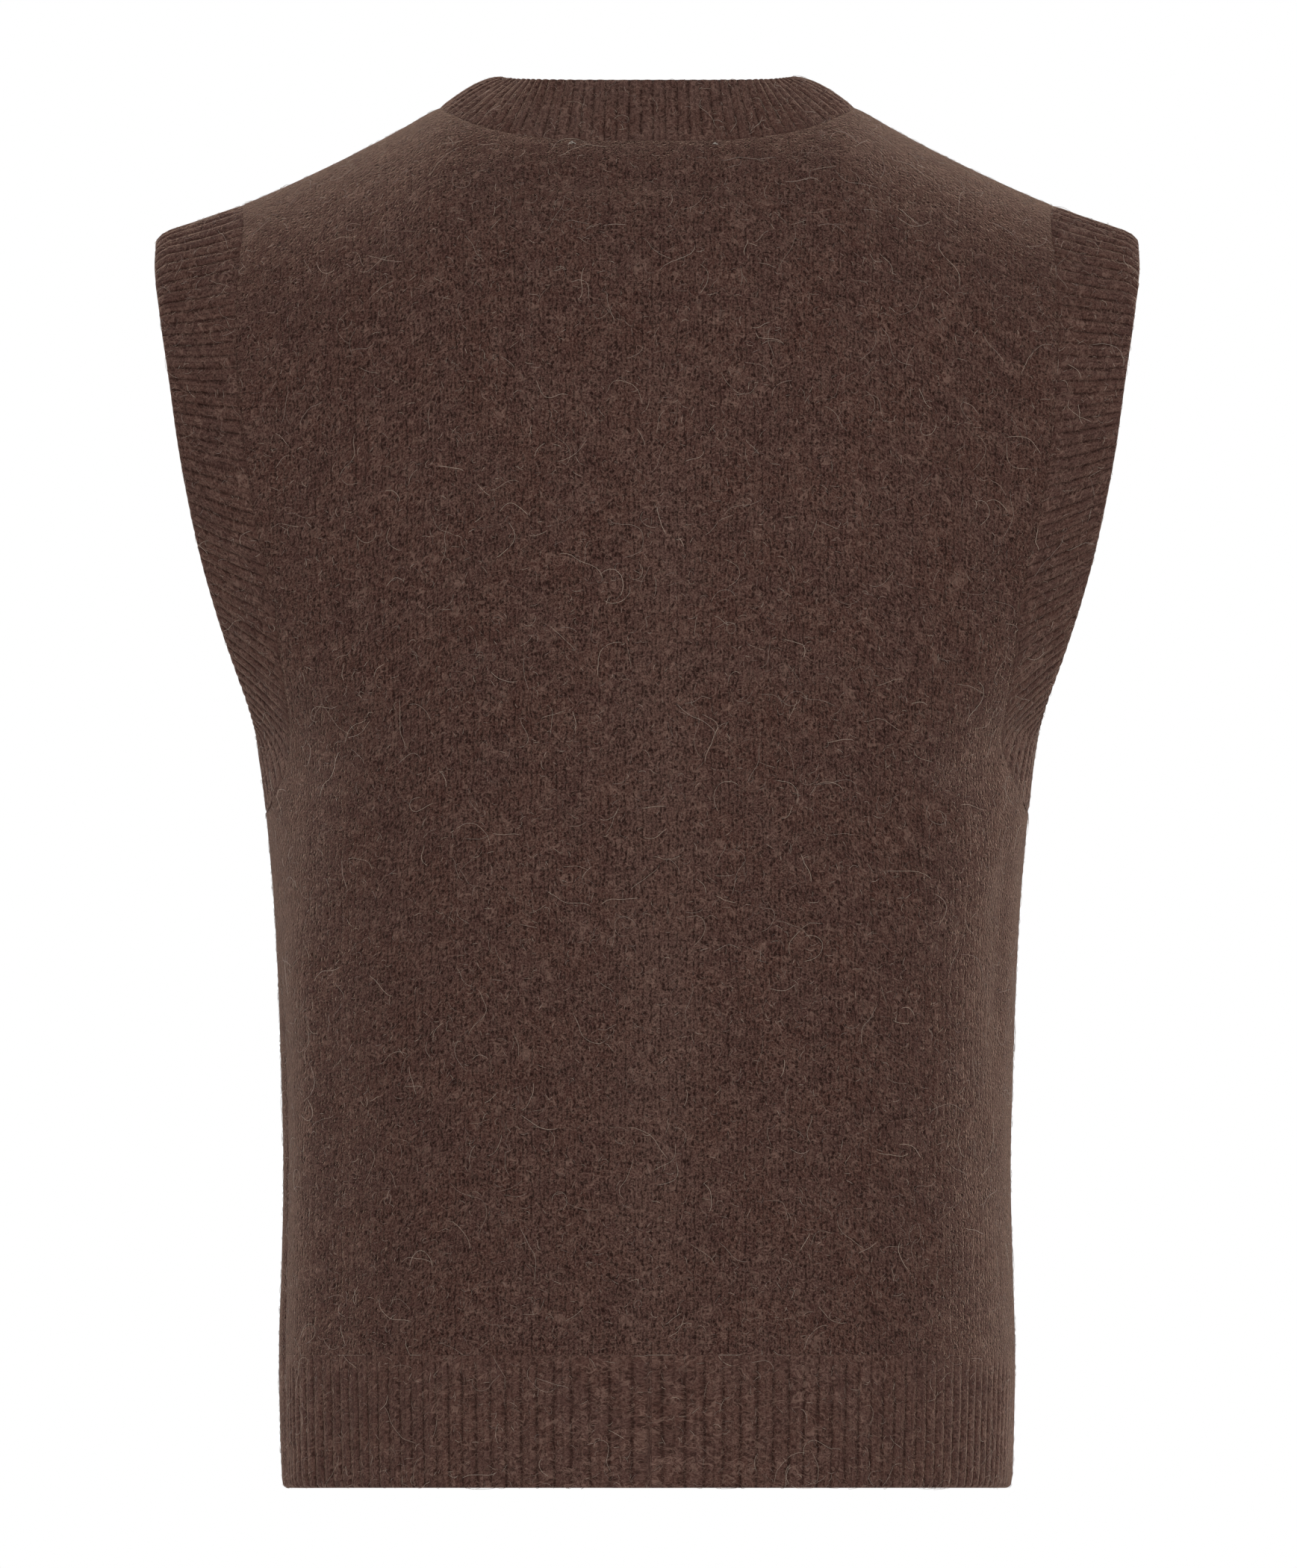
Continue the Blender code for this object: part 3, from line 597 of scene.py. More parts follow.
def quads(grid):
    corners = (grid[:-1, :-1], grid[:-1, 1:], grid[1:, 1:], grid[1:, :-1])
    return np.stack(corners, axis=-1).reshape(-1, 4)


def woven(name, cloth, outer, inner, materials, knit_uv, hollow, ring=False, coarse=1):
    """Closed shell of cloth between its outer and inner offsets from the mid-cloth grid.

    The inner face takes every line that coarse says, and rims with more corners join the
    two. knit_uv is in metres along the knit, and hollow is 1 in the deepest valleys and
    sets how much shade the material paints there and on the seams.
    """
    def both_faces(values, width):
        """An outer face's values, then those on the lines that the inner face keeps."""
        return np.concatenate([values.reshape(-1, width),
                               values[::coarse, ::coarse].reshape(-1, width)])

    shape = cloth.girth.shape
    points = both_faces(cloth.points, 3)
    count = shape[0] * shape[1]
    points[:count] += (cloth.normals * outer[..., None]).reshape(-1, 3)
    points[count:] -= (cloth.normals * inner[..., None])[::coarse, ::coarse].reshape(-1, 3)
    high = np.arange(count).reshape(shape)
    low = high[::coarse, ::coarse]
    low = count + np.arange(low.size).reshape(low.shape)
    if ring:
        high, low = (np.concatenate([ids, ids[:1]]) for ids in (high, low))
    outside = quads(high).tolist()
    faces = outside + quads(low)[:, ::-1].tolist()
    if not ring:
        for row in (0, -1):
            faces += rim_faces(high[row], low[row], coarse, flipped=row == 0)
    for column in (0, -1):
        faces += rim_faces(high[:, column], low[:, column], coarse, flipped=column == -1)
    mesh = bpy.data.meshes.new(KNITTED + name)
    mesh.from_pydata(points.tolist(), [], faces)
    is_inner = np.arange(len(faces)) >= len(outside)
    mesh.polygons.foreach_set("material_index", is_inner.astype(np.int32))
    for material in materials:
        mesh.materials.append(material)
    places = both_faces(knit_uv, 2)[read_all(mesh.loops, "vertex_index")]
    layer = mesh.uv_layers.new(name="knit")
    layer.data.foreach_set("uv", places.astype(np.float32).ravel())
    # hollow sets how much shade the material paints at each point, in the valleys and on the
    # seams
    depths = mesh.attributes.new("hollow", "FLOAT", "POINT")
    depths.data.foreach_set("value", both_faces(hollow, 1).astype(np.float32).ravel())
    turn_outward(mesh, cloth)
    mesh.shade_smooth()
    return new_object(KNITTED + name, mesh)


def turn_outward(mesh, cloth):
    """Turns all faces over if the outer face looks in, then closes the rounded edges."""
    rows, columns = cloth.girth.shape
    row, column = rows // 2, columns // 2
    shape = bmesh.new()
    shape.from_mesh(mesh)
    shape.faces.ensure_lookup_table()
    middle = shape.faces[(columns - 1) * row + column]
    middle.normal_update()
    if middle.normal.dot(Vector(cloth.normals[row, column])) < 0:
        bmesh.ops.reverse_faces(shape, faces=shape.faces)
    bmesh.ops.remove_doubles(shape, verts=shape.verts, dist=1e-6)
    shape.to_mesh(mesh)
    shape.free()


def dress(piece, node):
    """Rides a finished piece on the body in place of its frame node."""
    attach(piece, BODY)
    if node:
        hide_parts(node)


# Cut of each piece of cloth that shows: width, length and area, laid flat, in metres.
CUTS = {
    "back": (0.440, 0.560, 0.205),
    "front_left": (0.212, 0.560, 0.098),
    "front_right": (0.212, 0.560, 0.098),
    "hem_rib_back": (0.420, 0.057, 0.0239),
    "hem_rib_front_left": (0.200, 0.057, 0.0114),
    "hem_rib_front_right": (0.200, 0.057, 0.0114),
    "neck_band": (0.235, 0.0305, 0.0066),
    "button_band": (0.700, 0.030, 0.0205),
    "buttonhole_band": (0.700, 0.030, 0.0205),
    "armhole_band_left": (0.640, 0.038, 0.0200),
    "armhole_band_right": (0.640, 0.038, 0.0200),
}


# ---------------------------------------------------------------- materials
def add_node(tree, kind, settings=None, inputs=None, output=0):
    """Adds a node with its settings, links or sets its inputs, and gives one output."""
    made = tree.nodes.new(kind)
    for name, value in (settings or {}).items():
        setattr(made, name, value)
    for name, value in (inputs or {}).items():
        if isinstance(value, bpy.types.NodeSocket):
            tree.links.new(value, made.inputs[name])
        else:
            made.inputs[name].default_value = value
    return made.outputs[output]


def new_material(name):
    material = bpy.data.materials.new(name)
    material.use_nodes = True
    return material, material.node_tree, material.node_tree.nodes["Principled BSDF"]


def set_inputs(shader, **values):
    for name, value in values.items():
        shader.inputs[name.replace("_", " ")].default_value = value


MILLIMETRES = 1000.0
FLAT = {"noise_dimensions": "2D"}
SMOOTH = {"interpolation_type": "SMOOTHSTEP"}
TIMES = {"operation": "MULTIPLY"}
TIMES_PLUS = {"operation": "MULTIPLY_ADD"}
PLUS = {"operation": "ADD"}
SIZE_OF = {"operation": "ABSOLUTE"}
FOLD_OVER = {"operation": "PINGPONG"}
MIX = {"data_type": "RGBA"}


def knit_material(name, wale, course, purl=False, ribbed=False, pressed=False, paler=0.0):
    """Brushed wool and alpaca knit: a felted face with shade painted in the pinholes between its
    loops, the grooves between its wales and the valleys of its ribs.

    Raising the nap leaves paler fibre ends that curl over the stitches, and grazing
    light catches them all, so the edges of the form look paler than its middle.
    """
    wale *= MILLIMETRES
    course *= MILLIMETRES
    colours = bpy.context.scene.cardigan.colours
    material, tree, shader = new_material(name)
    uv = add_node(tree, "ShaderNodeUVMap", {"uv_map": "knit"})
    place = add_node(tree, "ShaderNodeMapping", None, {
        "Vector": uv, "Scale": (MILLIMETRES, MILLIMETRES, 1.0)})

    # Felting moves each loop a little off its place.
    drift = add_node(tree, "ShaderNodeTexNoise", FLAT, {
        "Vector": place, "Scale": 0.16, "Detail": 2.0}, "Color")
    drift = add_node(tree, "ShaderNodeVectorMath", {"operation": "SUBTRACT"}, {
        0: drift, 1: (0.5, 0.5, 0.0)})
    reach = 1.2 if ribbed else 2.8
    moved = add_node(tree, "ShaderNodeVectorMath", TIMES_PLUS, {
        0: drift, 1: (reach, reach, 0.0), 2: place})

    # Clouds of 20 mm and of 5 mm, felt of 1 mm, and patches that thin the other layers.
    clouds, mottle, felt, patches, thin_patches = (
        add_node(tree, "ShaderNodeTexNoise", FLAT, {
            "Vector": place, "Scale": scale, "Detail": detail, "Roughness": rough})
        for scale, detail, rough in (
            (0.050, 2.0, 0.60), (0.19, 2.0, 0.60), (1.25, 2.0, 0.60), (0.10, 1.0, 0.5),
            (0.13, 1.0, 0.5)))

    # Pinholes, painted as spots of shade between the loops: two to a wale in each course, of
    # uneven darkness, some ringed by a curl.
    ragged = add_node(tree, "ShaderNodeTexNoise", FLAT, {
        "Vector": place, "Scale": 0.75, "Detail": 1.0}, "Color")
    ragged = add_node(tree, "ShaderNodeVectorMath", TIMES_PLUS, {
        0: ragged, 1: (1.6, 1.6, 0.0), 2: moved})
    cells = add_node(tree, "ShaderNodeMapping", None, {
        "Vector": ragged, "Scale": (2 / wale, 1 / course, 1.0)})
    holes = add_node(tree, "ShaderNodeTexVoronoi", {"voronoi_dimensions": "2D"}, {
        "Vector": cells, "Scale": 1.0, "Randomness": 0.8}, "Distance")
    chance = add_node(tree, "ShaderNodeSeparateColor", None, {
        "Color": holes.node.outputs["Color"]})
    ring = add_node(tree, "ShaderNodeMath", FOLD_OVER, {0: holes, 1: 0.50})
    depth_share, hole, ring = (
        add_node(tree, "ShaderNodeMapRange", SMOOTH, {
            "Value": value, "From Min": low, "From Max": high})
        for value, low, high in (
            (chance, 0.15, 0.80), (holes, 0.43, 0.15), (ring, 0.40, 0.49)))
    pinholes = add_node(tree, "ShaderNodeMath", TIMES, {0: hole, 1: depth_share})
    rings = add_node(tree, "ShaderNodeMath", TIMES, {0: ring, 1: patches})

    # Upright lines of painted shade in the grooves between the wales, which on a rib are its
    # valleys, and fainter ones up the middle of each, showing as dashes where the nap is thin.
    parts = add_node(tree, "ShaderNodeSeparateXYZ", None, {"Vector": moved})
    turns = add_node(tree, "ShaderNodeMath", TIMES, {0: parts, 1: 1 / wale})
    lean = add_node(tree, "ShaderNodeMath", FOLD_OVER, {0: turns, 1: 0.5})
    line = add_node(tree, "ShaderNodeMath", FOLD_OVER, {0: lean, 1: 0.25})
    line = add_node(tree, "ShaderNodeMapRange", SMOOTH, {
        "Value": line, "From Min": 0.10 if ribbed else 0.13, "From Max": 0.02})
    between = add_node(tree, "ShaderNodeMapRange", None, {
        "Value": lean, "From Min": 0.20, "From Max": 0.30, "To Min": 0.6})
    long_way = add_node(tree, "ShaderNodeMapping", None, {
        "Vector": place, "Scale": (0.42, 0.20, 1.0), "Location": (9.0, 3.0, 0.0)})
    dashes = add_node(tree, "ShaderNodeTexNoise", FLAT, {
        "Vector": long_way, "Scale": 1.0, "Detail": 1.0})
    dashes = add_node(tree, "ShaderNodeMapRange", SMOOTH, {
        "Value": dashes, "From Min": 0.38, "From Max": 0.60})
    if ribbed:
        dashes = add_node(tree, "ShaderNodeMapRange", None, {"Value": dashes, "To Min": 0.45})
    for share in (between, dashes):
        line = add_node(tree, "ShaderNodeMath", TIMES, {0: line, 1: share})
    # Painted shade in the rib valleys and on the seams, from the hollow attribute, broken up by
    # the dashes.
    valley_shade_dashes = add_node(tree, "ShaderNodeMapRange", None, {
        "Value": dashes, "To Min": 0.65})
    hollow = add_node(tree, "ShaderNodeAttribute", {"attribute_name": "hollow"}, None, "Fac")
    hollow = add_node(tree, "ShaderNodeMath", TIMES, {0: hollow, 1: valley_shade_dashes})

    # Loops: two sloping legs to a wale, or the purl side's level rows of bumps.
    rise = add_node(tree, "ShaderNodeMath", TIMES, {
        0: parts.node.outputs["Y"], 1: 1 / course})
    leg = add_node(tree, "ShaderNodeMath", TIMES_PLUS, {
        0: lean, 1: 0.0 if purl else 1.7, 2: rise})
    leg = add_node(tree, "ShaderNodeMath", FOLD_OVER, {0: leg, 1: 0.5})

    # Fibres: thin curling lines, where a random field crosses its middle value.
    strands = []
    for scale, width, offset, cover in (
            (0.55, 0.080, 31.0, patches), (0.27, 0.060, 77.0, thin_patches)):
        other = add_node(tree, "ShaderNodeMapping", None, {
            "Vector": place, "Location": (offset, -offset, 0.0)})
        field = add_node(tree, "ShaderNodeTexNoise", FLAT, {
            "Vector": other, "Scale": scale, "Detail": 1.0, "Roughness": 0.45,
            "Distortion": 1.1})
        field = add_node(tree, "ShaderNodeMath", FOLD_OVER, {0: field, 1: 0.5})
        field = add_node(tree, "ShaderNodeMapRange", SMOOTH, {
            "Value": field, "From Min": 0.5 - width, "From Max": 0.5})
        cover = add_node(tree, "ShaderNodeMapRange", SMOOTH, {
            "Value": cover, "From Min": 0.34, "From Max": 0.62, "To Min": 0.45})
        strands.append(add_node(tree, "ShaderNodeMath", TIMES, {0: field, 1: cover}))

    red, dark, light, strand = ((*tint, 1.0) for tint in (
        colours.melange, colours.pinhole, colours.fibre, colours.strand))
    first_layers = []
    if ribbed:
        # Painted highlight: the crests of the ribs, away from their valleys, are tinted paler.
        first_layers = [(hollow, 1.0, 0.0, 0.16, light, 0.0)]
    if pressed:
        # On the back the upright lines fade towards the sides, and the plain knit is tinted
        # paler down its middle.
        across = add_node(tree, "ShaderNodeSeparateXYZ", None, {"Vector": place})
        sides, middle, down = (
            add_node(tree, "ShaderNodeMapRange", SMOOTH, {
                "Value": add_node(tree, "ShaderNodeMath", SIZE_OF, {
                    0: add_node(tree, "ShaderNodeMath", PLUS, {0: value, 1: shift})}),
                "From Min": low, "From Max": high})
            for value, shift, low, high in (
                (across, 0.0, 180.0, 158.0), (across, 5.0, 27.0, 1.0),
                (across.node.outputs["Y"], 440.0, 330.0, 40.0)))
        sides = add_node(tree, "ShaderNodeMapRange", None, {"Value": sides, "To Min": 0.3})
        line = add_node(tree, "ShaderNodeMath", TIMES, {0: line, 1: sides})
        if not ribbed:
            pale_middle = add_node(tree, "ShaderNodeMath", TIMES, {0: middle, 1: down})
            first_layers = [(pale_middle, 0.0, 1.0, 0.22, light, 0.0)]

    # paler is painted light: it tints a piece lighter than the same yarn elsewhere, as for the
    # neck rib that leans up into the light
    base = (*(blend(face, end, paler) for face, end in zip(colours.knit, colours.fibre)), 1.0)
    reds = add_node(tree, "ShaderNodeMapRange", SMOOTH, {
        "Value": clouds, "From Min": 0.38, "From Max": 0.62})
    colour = add_node(tree, "ShaderNodeMix", MIX, {0: reds, 6: base, 7: red}, 2)
    height = add_node(tree, "ShaderNodeMath", TIMES, {0: leg, 1: 0.5})
    fine = 0.65 if ribbed else 1.0

    # Layers of tint, each with the values it runs between, its strength and its relief.
    for value, low, high, strength, tint, lift in (
            *first_layers,
            (clouds, 0.60, 0.36, 0.07, dark, 0.0),
            (mottle, 0.46, 0.72, 0.06 * fine, light, 0.1),
            (mottle, 0.52, 0.28, 0.08 * fine, dark, -0.1),
            (felt, 0.46, 0.68, 0.38 * fine, light, 0.5),
            (felt, 0.52, 0.36, 0.68 * fine, dark, -0.5),
            (rings, 0.15, 0.60, 0.30 * fine, light, 0.5),
            # painted shade in the pinholes
            (pinholes, 0.0, 1.0, 1.0 * fine, dark, -1.0),
            # painted shade in the grooves between the wales
            (line, 0.0, 1.0, 0.78 if ribbed else 0.90, dark, -0.7),
            # painted shade in the rib valleys and on the seams
            (hollow, 0.0, 1.0, 0.62, dark, -0.3),
            (strands[0], 0.0, 1.0, 0.22, strand, 0.6),
            (strands[1], 0.0, 1.0, 0.34, strand, 0.8)):
        share = add_node(tree, "ShaderNodeMapRange", None, {
            "Value": value, "From Min": low, "From Max": high, "To Max": strength})
        colour = add_node(tree, "ShaderNodeMix", MIX, {0: share, 6: colour, 7: tint}, 2)
        if lift:
            height = add_node(tree, "ShaderNodeMath", TIMES_PLUS, {
                0: share, 1: lift, 2: height})
    tree.links.new(colour, shader.inputs["Base Color"])
    tree.links.new(add_node(tree, "ShaderNodeBump", None, {
        "Strength": 0.8, "Distance": 0.0005, "Height": height}), shader.inputs["Normal"])
    set_inputs(shader, Roughness=0.92, Specular_IOR_Level=0.12, Sheen_Weight=1.0,
               Sheen_Roughness=0.10, Sheen_Tint=(*colours.sheen, 1.0))
    return material


def hair_material(name):
    """Single wool and alpaca hairs, a little glossy, each of its own lightness."""
    colours = bpy.context.scene.cardigan.colours
    material, tree, shader = new_material(name)
    tone = add_node(tree, "ShaderNodeAttribute", {"attribute_name": "tone"}, None, "Fac")
    colour = add_node(tree, "ShaderNodeMix", MIX, {
        0: tone, 6: (*colours.fibre, 1.0), 7: (*colours.hair, 1.0)}, 2)
    tree.links.new(colour, shader.inputs["Base Color"])
    set_inputs(shader, Roughness=0.6, Specular_IOR_Level=0.3, Sheen_Weight=0.2)
    return material


# ---------------------------------------------------------------- settings
def length_property(name, description, default):
    return FloatProperty(
        name=name, description=description, default=default, unit="LENGTH", precision=5)


def colour_property(name, description, default):
    return FloatVectorProperty(
        name=name, description=description, subtype="COLOR", min=0.0, max=1.0,
        default=linear(default))


class KnitSettings(bpy.types.PropertyGroup):
    """Gauge and thickness of the knit."""

    wale: length_property("Wale", "Width of one column of plain stitches", 0.00365)
    course: length_property("Course", "Height of one row of stitches", 0.0026)
    hem_rib: length_property("Hem Rib", "Width of one rib and its valley at the hem", 0.0059)
    band_rib: length_property(
        "Band Rib", "Width of one rib and its valley on the bands", 0.0053)
    rib_height: length_property("Rib Height", "Half height of a rib over its valley", 0.00042)
    half_wall: length_property("Half Wall", "Half thickness of the plain knit", 0.00125)
    half_rib_wall: length_property(
        "Half Rib Wall", "Half thickness of the rib between its faces", 0.00100)
    wale_height: length_property(
        "Wale Height", "Height of a plain wale over the line beside it", 0.00007)
    unevenness: length_property(
        "Unevenness", "How far felting makes the face rise and fall", 0.00032)
    seam_depth: length_property(
        "Seam Depth", "How far a seam pulls the face of the cloth in", 0.00035)


class NapSettings(bpy.types.PropertyGroup):
    """Loose hairs that the brushing raised."""

    short_density: FloatProperty(
        name="Short Hairs", description="Short curled hairs on a square metre of cloth",
        default=25000.0)
    long_density: FloatProperty(
        name="Long Hairs", description="Long stray hairs on a square metre of cloth",
        default=2300.0)
    thickness: length_property(
        "Thickness", "Thickness of a hair, coarser than life so that it shows", 0.00015)
    seed: IntProperty(
        name="Seed", description="Changes where the hairs lie", default=11, min=0)


class ButtonSettings(bpy.types.PropertyGroup):
    """Four-hole buttons and their thread."""

    radius: length_property(
        "Radius", "Radius of a button",
        (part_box("button_1")[1].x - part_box("button_1")[0].x) / 2)
    thickness: length_property("Thickness", "Thickness of a button over its rim", 0.0034)
    hole_pitch: length_property("Hole Pitch", "From its centre to a thread hole", 0.0017)
    hole_radius: length_property("Hole Radius", "Radius of a thread hole", 0.0009)
    thread: length_property("Thread", "Thickness of the sewing thread", 0.0006)


class ColourSettings(bpy.types.PropertyGroup):
    """Colours of the yarn, the buttons and the studio."""

    knit: colour_property("Knit", "Face of the knit", "#4a2f2a")
    melange: colour_property("Melange", "Redder clouds in the melange yarn", "#4a2d26")
    pinhole: colour_property("Pinhole", "Shade between the loops", "#281611")
    fibre: colour_property("Fibre", "Raised fibre ends", "#745b52")
    strand: colour_property("Strand", "Curled strands that lie on the face", "#97796c")
    hair: colour_property("Hair", "Palest loose hairs", "#b9a493")
    sheen: colour_property("Sheen", "Light caught by the nap at a grazing angle", "#e3c0a8")
    button: colour_property("Button", "Dark of the horn-look buttons", "#332019")
    button_streak: colour_property("Button Streak", "Pale streaks of the buttons", "#6a4a35")
    thread: colour_property("Thread", "Sewing thread of the buttons", "#3b2a25")
    tack: colour_property("Tack", "Tacking thread at the back neck", "#cfc6bb")
    floor: colour_property("Floor", "Studio floor", "#f4f4f2")


class StudioSettings(bpy.types.PropertyGroup):
    """Camera, floor and lights."""

    view_height: length_property(
        "View Height", "Height that the picture takes in", 0.6678)
    view_centre: length_property("View Centre", "Height of the picture's middle", -0.2862)
    floor_drop: length_property("Floor Drop", "Floor below the wearer's shoulders", 1.40)
    ambient: FloatProperty(
        name="Ambient", description="Strength of the white room", default=0.44)
    key: FloatProperty(
        name="Key", description="Power of the large lamp before the shown side, in watts",
        default=42.6)


class CardiganSettings(bpy.types.PropertyGroup):
    """All settings of the cardigan."""

    knit: PointerProperty(type=KnitSettings)
    nap: PointerProperty(type=NapSettings)
    button: PointerProperty(type=ButtonSettings)
    colours: PointerProperty(type=ColourSettings)
    studio: PointerProperty(type=StudioSettings)


# ---------------------------------------------------------------- panels
PANEL_LINE = 0.00063      # spacing of a panel's upright lines
PANEL_ROW = {BACK: 0.0045, FRONT: 0.0060}
PANEL_GIRTH = {BACK: 0.212, FRONT: 0.198}     # half a panel's width round the body
INNER_LINES = 4           # a panel's inner face keeps one line in so many
WALES_APART = 101         # sets each front's pattern apart from the back's
SEAM_EASE = 0.006         # how far from a seam the plain knit finds its full relief
PLAIN_SIDE = 0.158        # girth past which the nap hides the wales
PLAIN_SIDE_REACH = 0.022
INNER_PULL = 0.4          # share of a seam's pull on the inner face
SEAM_SHADE = 0.5         # painted shade on a seam, as a share of that in a rib's deepest valley


def knit_panel(name, side, hand=0):
    """A front, or the whole back, in plain knit between its seams."""
    knit = bpy.context.scene.cardigan.knit
    is_back = side == BACK
    parts = graded(PANEL_GIRTH[side], PANEL_LINE, first=not is_back, last=True,
                   multiple=INNER_LINES // 2 if is_back else INNER_LINES)
    fall_length = float(arc_of(SIDE_DROP))
    falls = graded(fall_length, PANEL_ROW[side], first=True)
    lower = graded(SIDE_TOP_Z - RIB_TOP_Z, PANEL_ROW[side], last=True)[1:]
    spare = (-(len(falls) + len(lower) - 1)) % INNER_LINES
    if spare:
        steps = len(falls) - 1 - len(EDGE_LINES) + spare
        falls = graded(fall_length, fall_length / steps, first=True)
    heights = blend(SIDE_TOP_Z, RIB_TOP_Z, lower)
    cloth = Cloth.on_form(*panel_places(side, parts, falls, heights), side).worn(hand)
    down, along = cloth.ways()
    edge = np.minimum.reduce([along, along[:, -1:] - along, down])
    pull = nearness(edge, SEAM_REACH)
    free = 1 - nearness(np.minimum(edge, down[-1:] - down), SEAM_EASE)
    sideways = smooth_step((np.abs(cloth.girth) - PLAIN_SIDE) / PLAIN_SIDE_REACH)
    felted = 0.5 + 0.5 * unevenness(cloth.girth, cloth.fall, *WALE_FADE)
    fade = felted * (1 - 0.8 * sideways)
    wales = knit.wale_height * np.cos(math.tau * cloth.girth / knit.wale)
    relief = folds(cloth) + felt_unevenness(cloth) * free
    outer = knit.half_wall + relief + wales * fade * free - knit.seam_depth * pull
    inner = knit.half_wall - relief - knit.seam_depth * pull * INNER_PULL
    uv = np.stack([cloth.girth + WALES_APART * hand * knit.wale, -cloth.fall], axis=-1)
    body = knit_material(f"plain_knit_{name}", knit.wale, knit.course, pressed=is_back)
    purl = knit_material(f"purl_side_{name}", knit.wale, knit.course, purl=True)
    piece = woven(name, cloth, outer, inner, [body, purl], uv, pull * SEAM_SHADE,
                  coarse=INNER_LINES)
    dress(piece, name)


# ---------------------------------------------------------------- ribs
RIB_LINES = {BACK: 8, FRONT: 6}   # lines across one rib
HEM_ROW = 0.0050          # spacing of lines down the hem rib
BAND_ROW = 0.0030         # and across a band
NECK_ROW = 0.0024         # and across the neck's
BAND_EASE = 0.003         # how far from its seam a band finds its full relief
FINE_STEPS = 900          # steps that measure a seam line's length


def rib_offsets(cloth, turns, thin, fade, pull):
    """Outer and inner offsets of a 1x1 rib, and how deep each point lies in a valley, which sets
    the shade painted there.

    thin is the share of its thickness that a free edge leaves, fade is 0 on the seams,
    where the rib is as thick as the panel, and pull is 1 where a seam draws it in.
    """
    knit = bpy.context.scene.cardigan.knit
    where, down = cloth.girth, cloth.fall
    turns = turns + 0.09 * unevenness(where, down, *RIB_DRIFT) * fade
    swell = 1 + 0.35 * unevenness(where, down, *RIB_SWELL)
    height = knit.rib_height * swell * fade * thin
    lift = folds(cloth) + felt_unevenness(cloth) * 0.5 * fade * thin
    half = blend(knit.half_wall, knit.half_rib_wall, fade) * thin
    face = rib_wave(turns)
    sunk = knit.seam_depth * pull
    outer = half + lift + height * face - sunk
    inner = half - lift + height * rib_wave(turns + 0.5) - sunk * INNER_PULL
    inner = np.maximum(inner, 1e-6 - outer)
    # the valley's depth, which the material turns into painted shade
    hollow = np.clip(0.5 - face * 0.5, 0, 1) ** 1.5 * fade
    return outer, inner, np.maximum(hollow, pull * SEAM_SHADE)


def knit_rib(name, cloth, rib, turns, way, thin, fade, pull,
             apart=0, tuck=0.0, ring=False, **look):
    """Knits a piece in 1x1 rib: turns counts its ribs, and way runs along them.

    apart is the count of ribs that sets its pattern off from its neighbours', and tuck is
    how far its edge is drawn in.
    """
    course = bpy.context.scene.cardigan.knit.course
    turns = np.broadcast_to(turns, cloth.girth.shape)
    outer, inner, hollow = rib_offsets(cloth, turns, thin, fade, pull)
    material = knit_material(f"rib_knit_{name}", rib, course, ribbed=True, **look)
    uv = np.stack([(turns + 0.5 + apart) * rib, -way], axis=-1)
    piece = woven(name, cloth, outer - tuck, inner + tuck, [material] * 2, uv, hollow, ring)
    dress(piece, name)


def even_stops(make_line, side, rib, steps=FINE_STEPS):
    """Shares along a line that give each rib the same width, and their count of ribs."""
    fine = np.linspace(0.0, 1.0, steps)
    line = form_point(*make_line(fine)[:2], side)
    way = np.concatenate([[0], np.cumsum(np.linalg.norm(np.diff(line, axis=0), axis=-1))])
    ribs = round(way[-1] / rib)
    turns = np.linspace(0, ribs, ribs * RIB_LINES[side] + 1)
    return np.interp(turns / ribs * way[-1], way, fine), turns


HEM_APART, ARMHOLE_APART, FRONT_APART = 60, 300, 900      # see knit_rib
SIDE_EASE = 0.002         # how far from a side seam the hem's ribs find their full relief
HEM_SIDE = 0.042          # the nap hides the hem's ribs so near to the side seams
HEM_SIDE_REACH = 0.020
HEM_TUCK = 0.0014         # how far the hem's last rows are drawn in
HEM_TUCK_REACH = 0.0035


def knit_hem_rib(name, side, hand=0):
    """The rib below the back or a front, from its seam down to the hem."""
    knit = bpy.context.scene.cardigan.knit
    girth = float(girth_at(np.array([0.0]), np.array([HEM]), side)[0])
    if side == FRONT:
        girth -= FRONT_BAND / 2
    ribs = round(girth / knit.hem_rib)
    parts = graded(girth, girth / (ribs * RIB_LINES[side]), first=side == FRONT, last=True)
    heights = blend(RIB_TOP_Z, HEM, graded(RIB_TOP_Z - HEM, HEM_ROW, first=True, last=True))
    cloth = Cloth.on_form(*level_places(side, parts, heights), side).worn(hand)
    turns = parts * ribs
    if side == BACK:
        turns = np.concatenate([-(turns + 0.5)[:0:-1], turns + 0.5])
    down, along = cloth.ways()
    ends = np.minimum(along, along[:, -1:] - along)
    up = down[-1:] - down
    fade = (1 - nearness(ends, SIDE_EASE)) * (1 - nearness(down, SEAM_EASE))
    sideways = smooth_step((np.abs(cloth.girth) - girth + HEM_SIDE) / HEM_SIDE_REACH)
    knit_rib(name, cloth, knit.hem_rib, turns, cloth.fall, edge_rounding(up),
             fade * (1 - 0.75 * sideways), nearness(ends, SEAM_REACH),
             apart=HEM_APART * hand, pressed=side == BACK,
             tuck=HEM_TUCK * np.clip(1 - up / HEM_TUCK_REACH, 0, 1) ** 2)


ARMHOLE_WIDTH = 0.034
ARMHOLE_MIDDLE = 0.55     # share of the way across on which its ribs are evenly wide
ARMHOLE_STEPS = 800
RIM_REACH = 1.036         # the rounded rim reaches as far out as the frame's blunt one


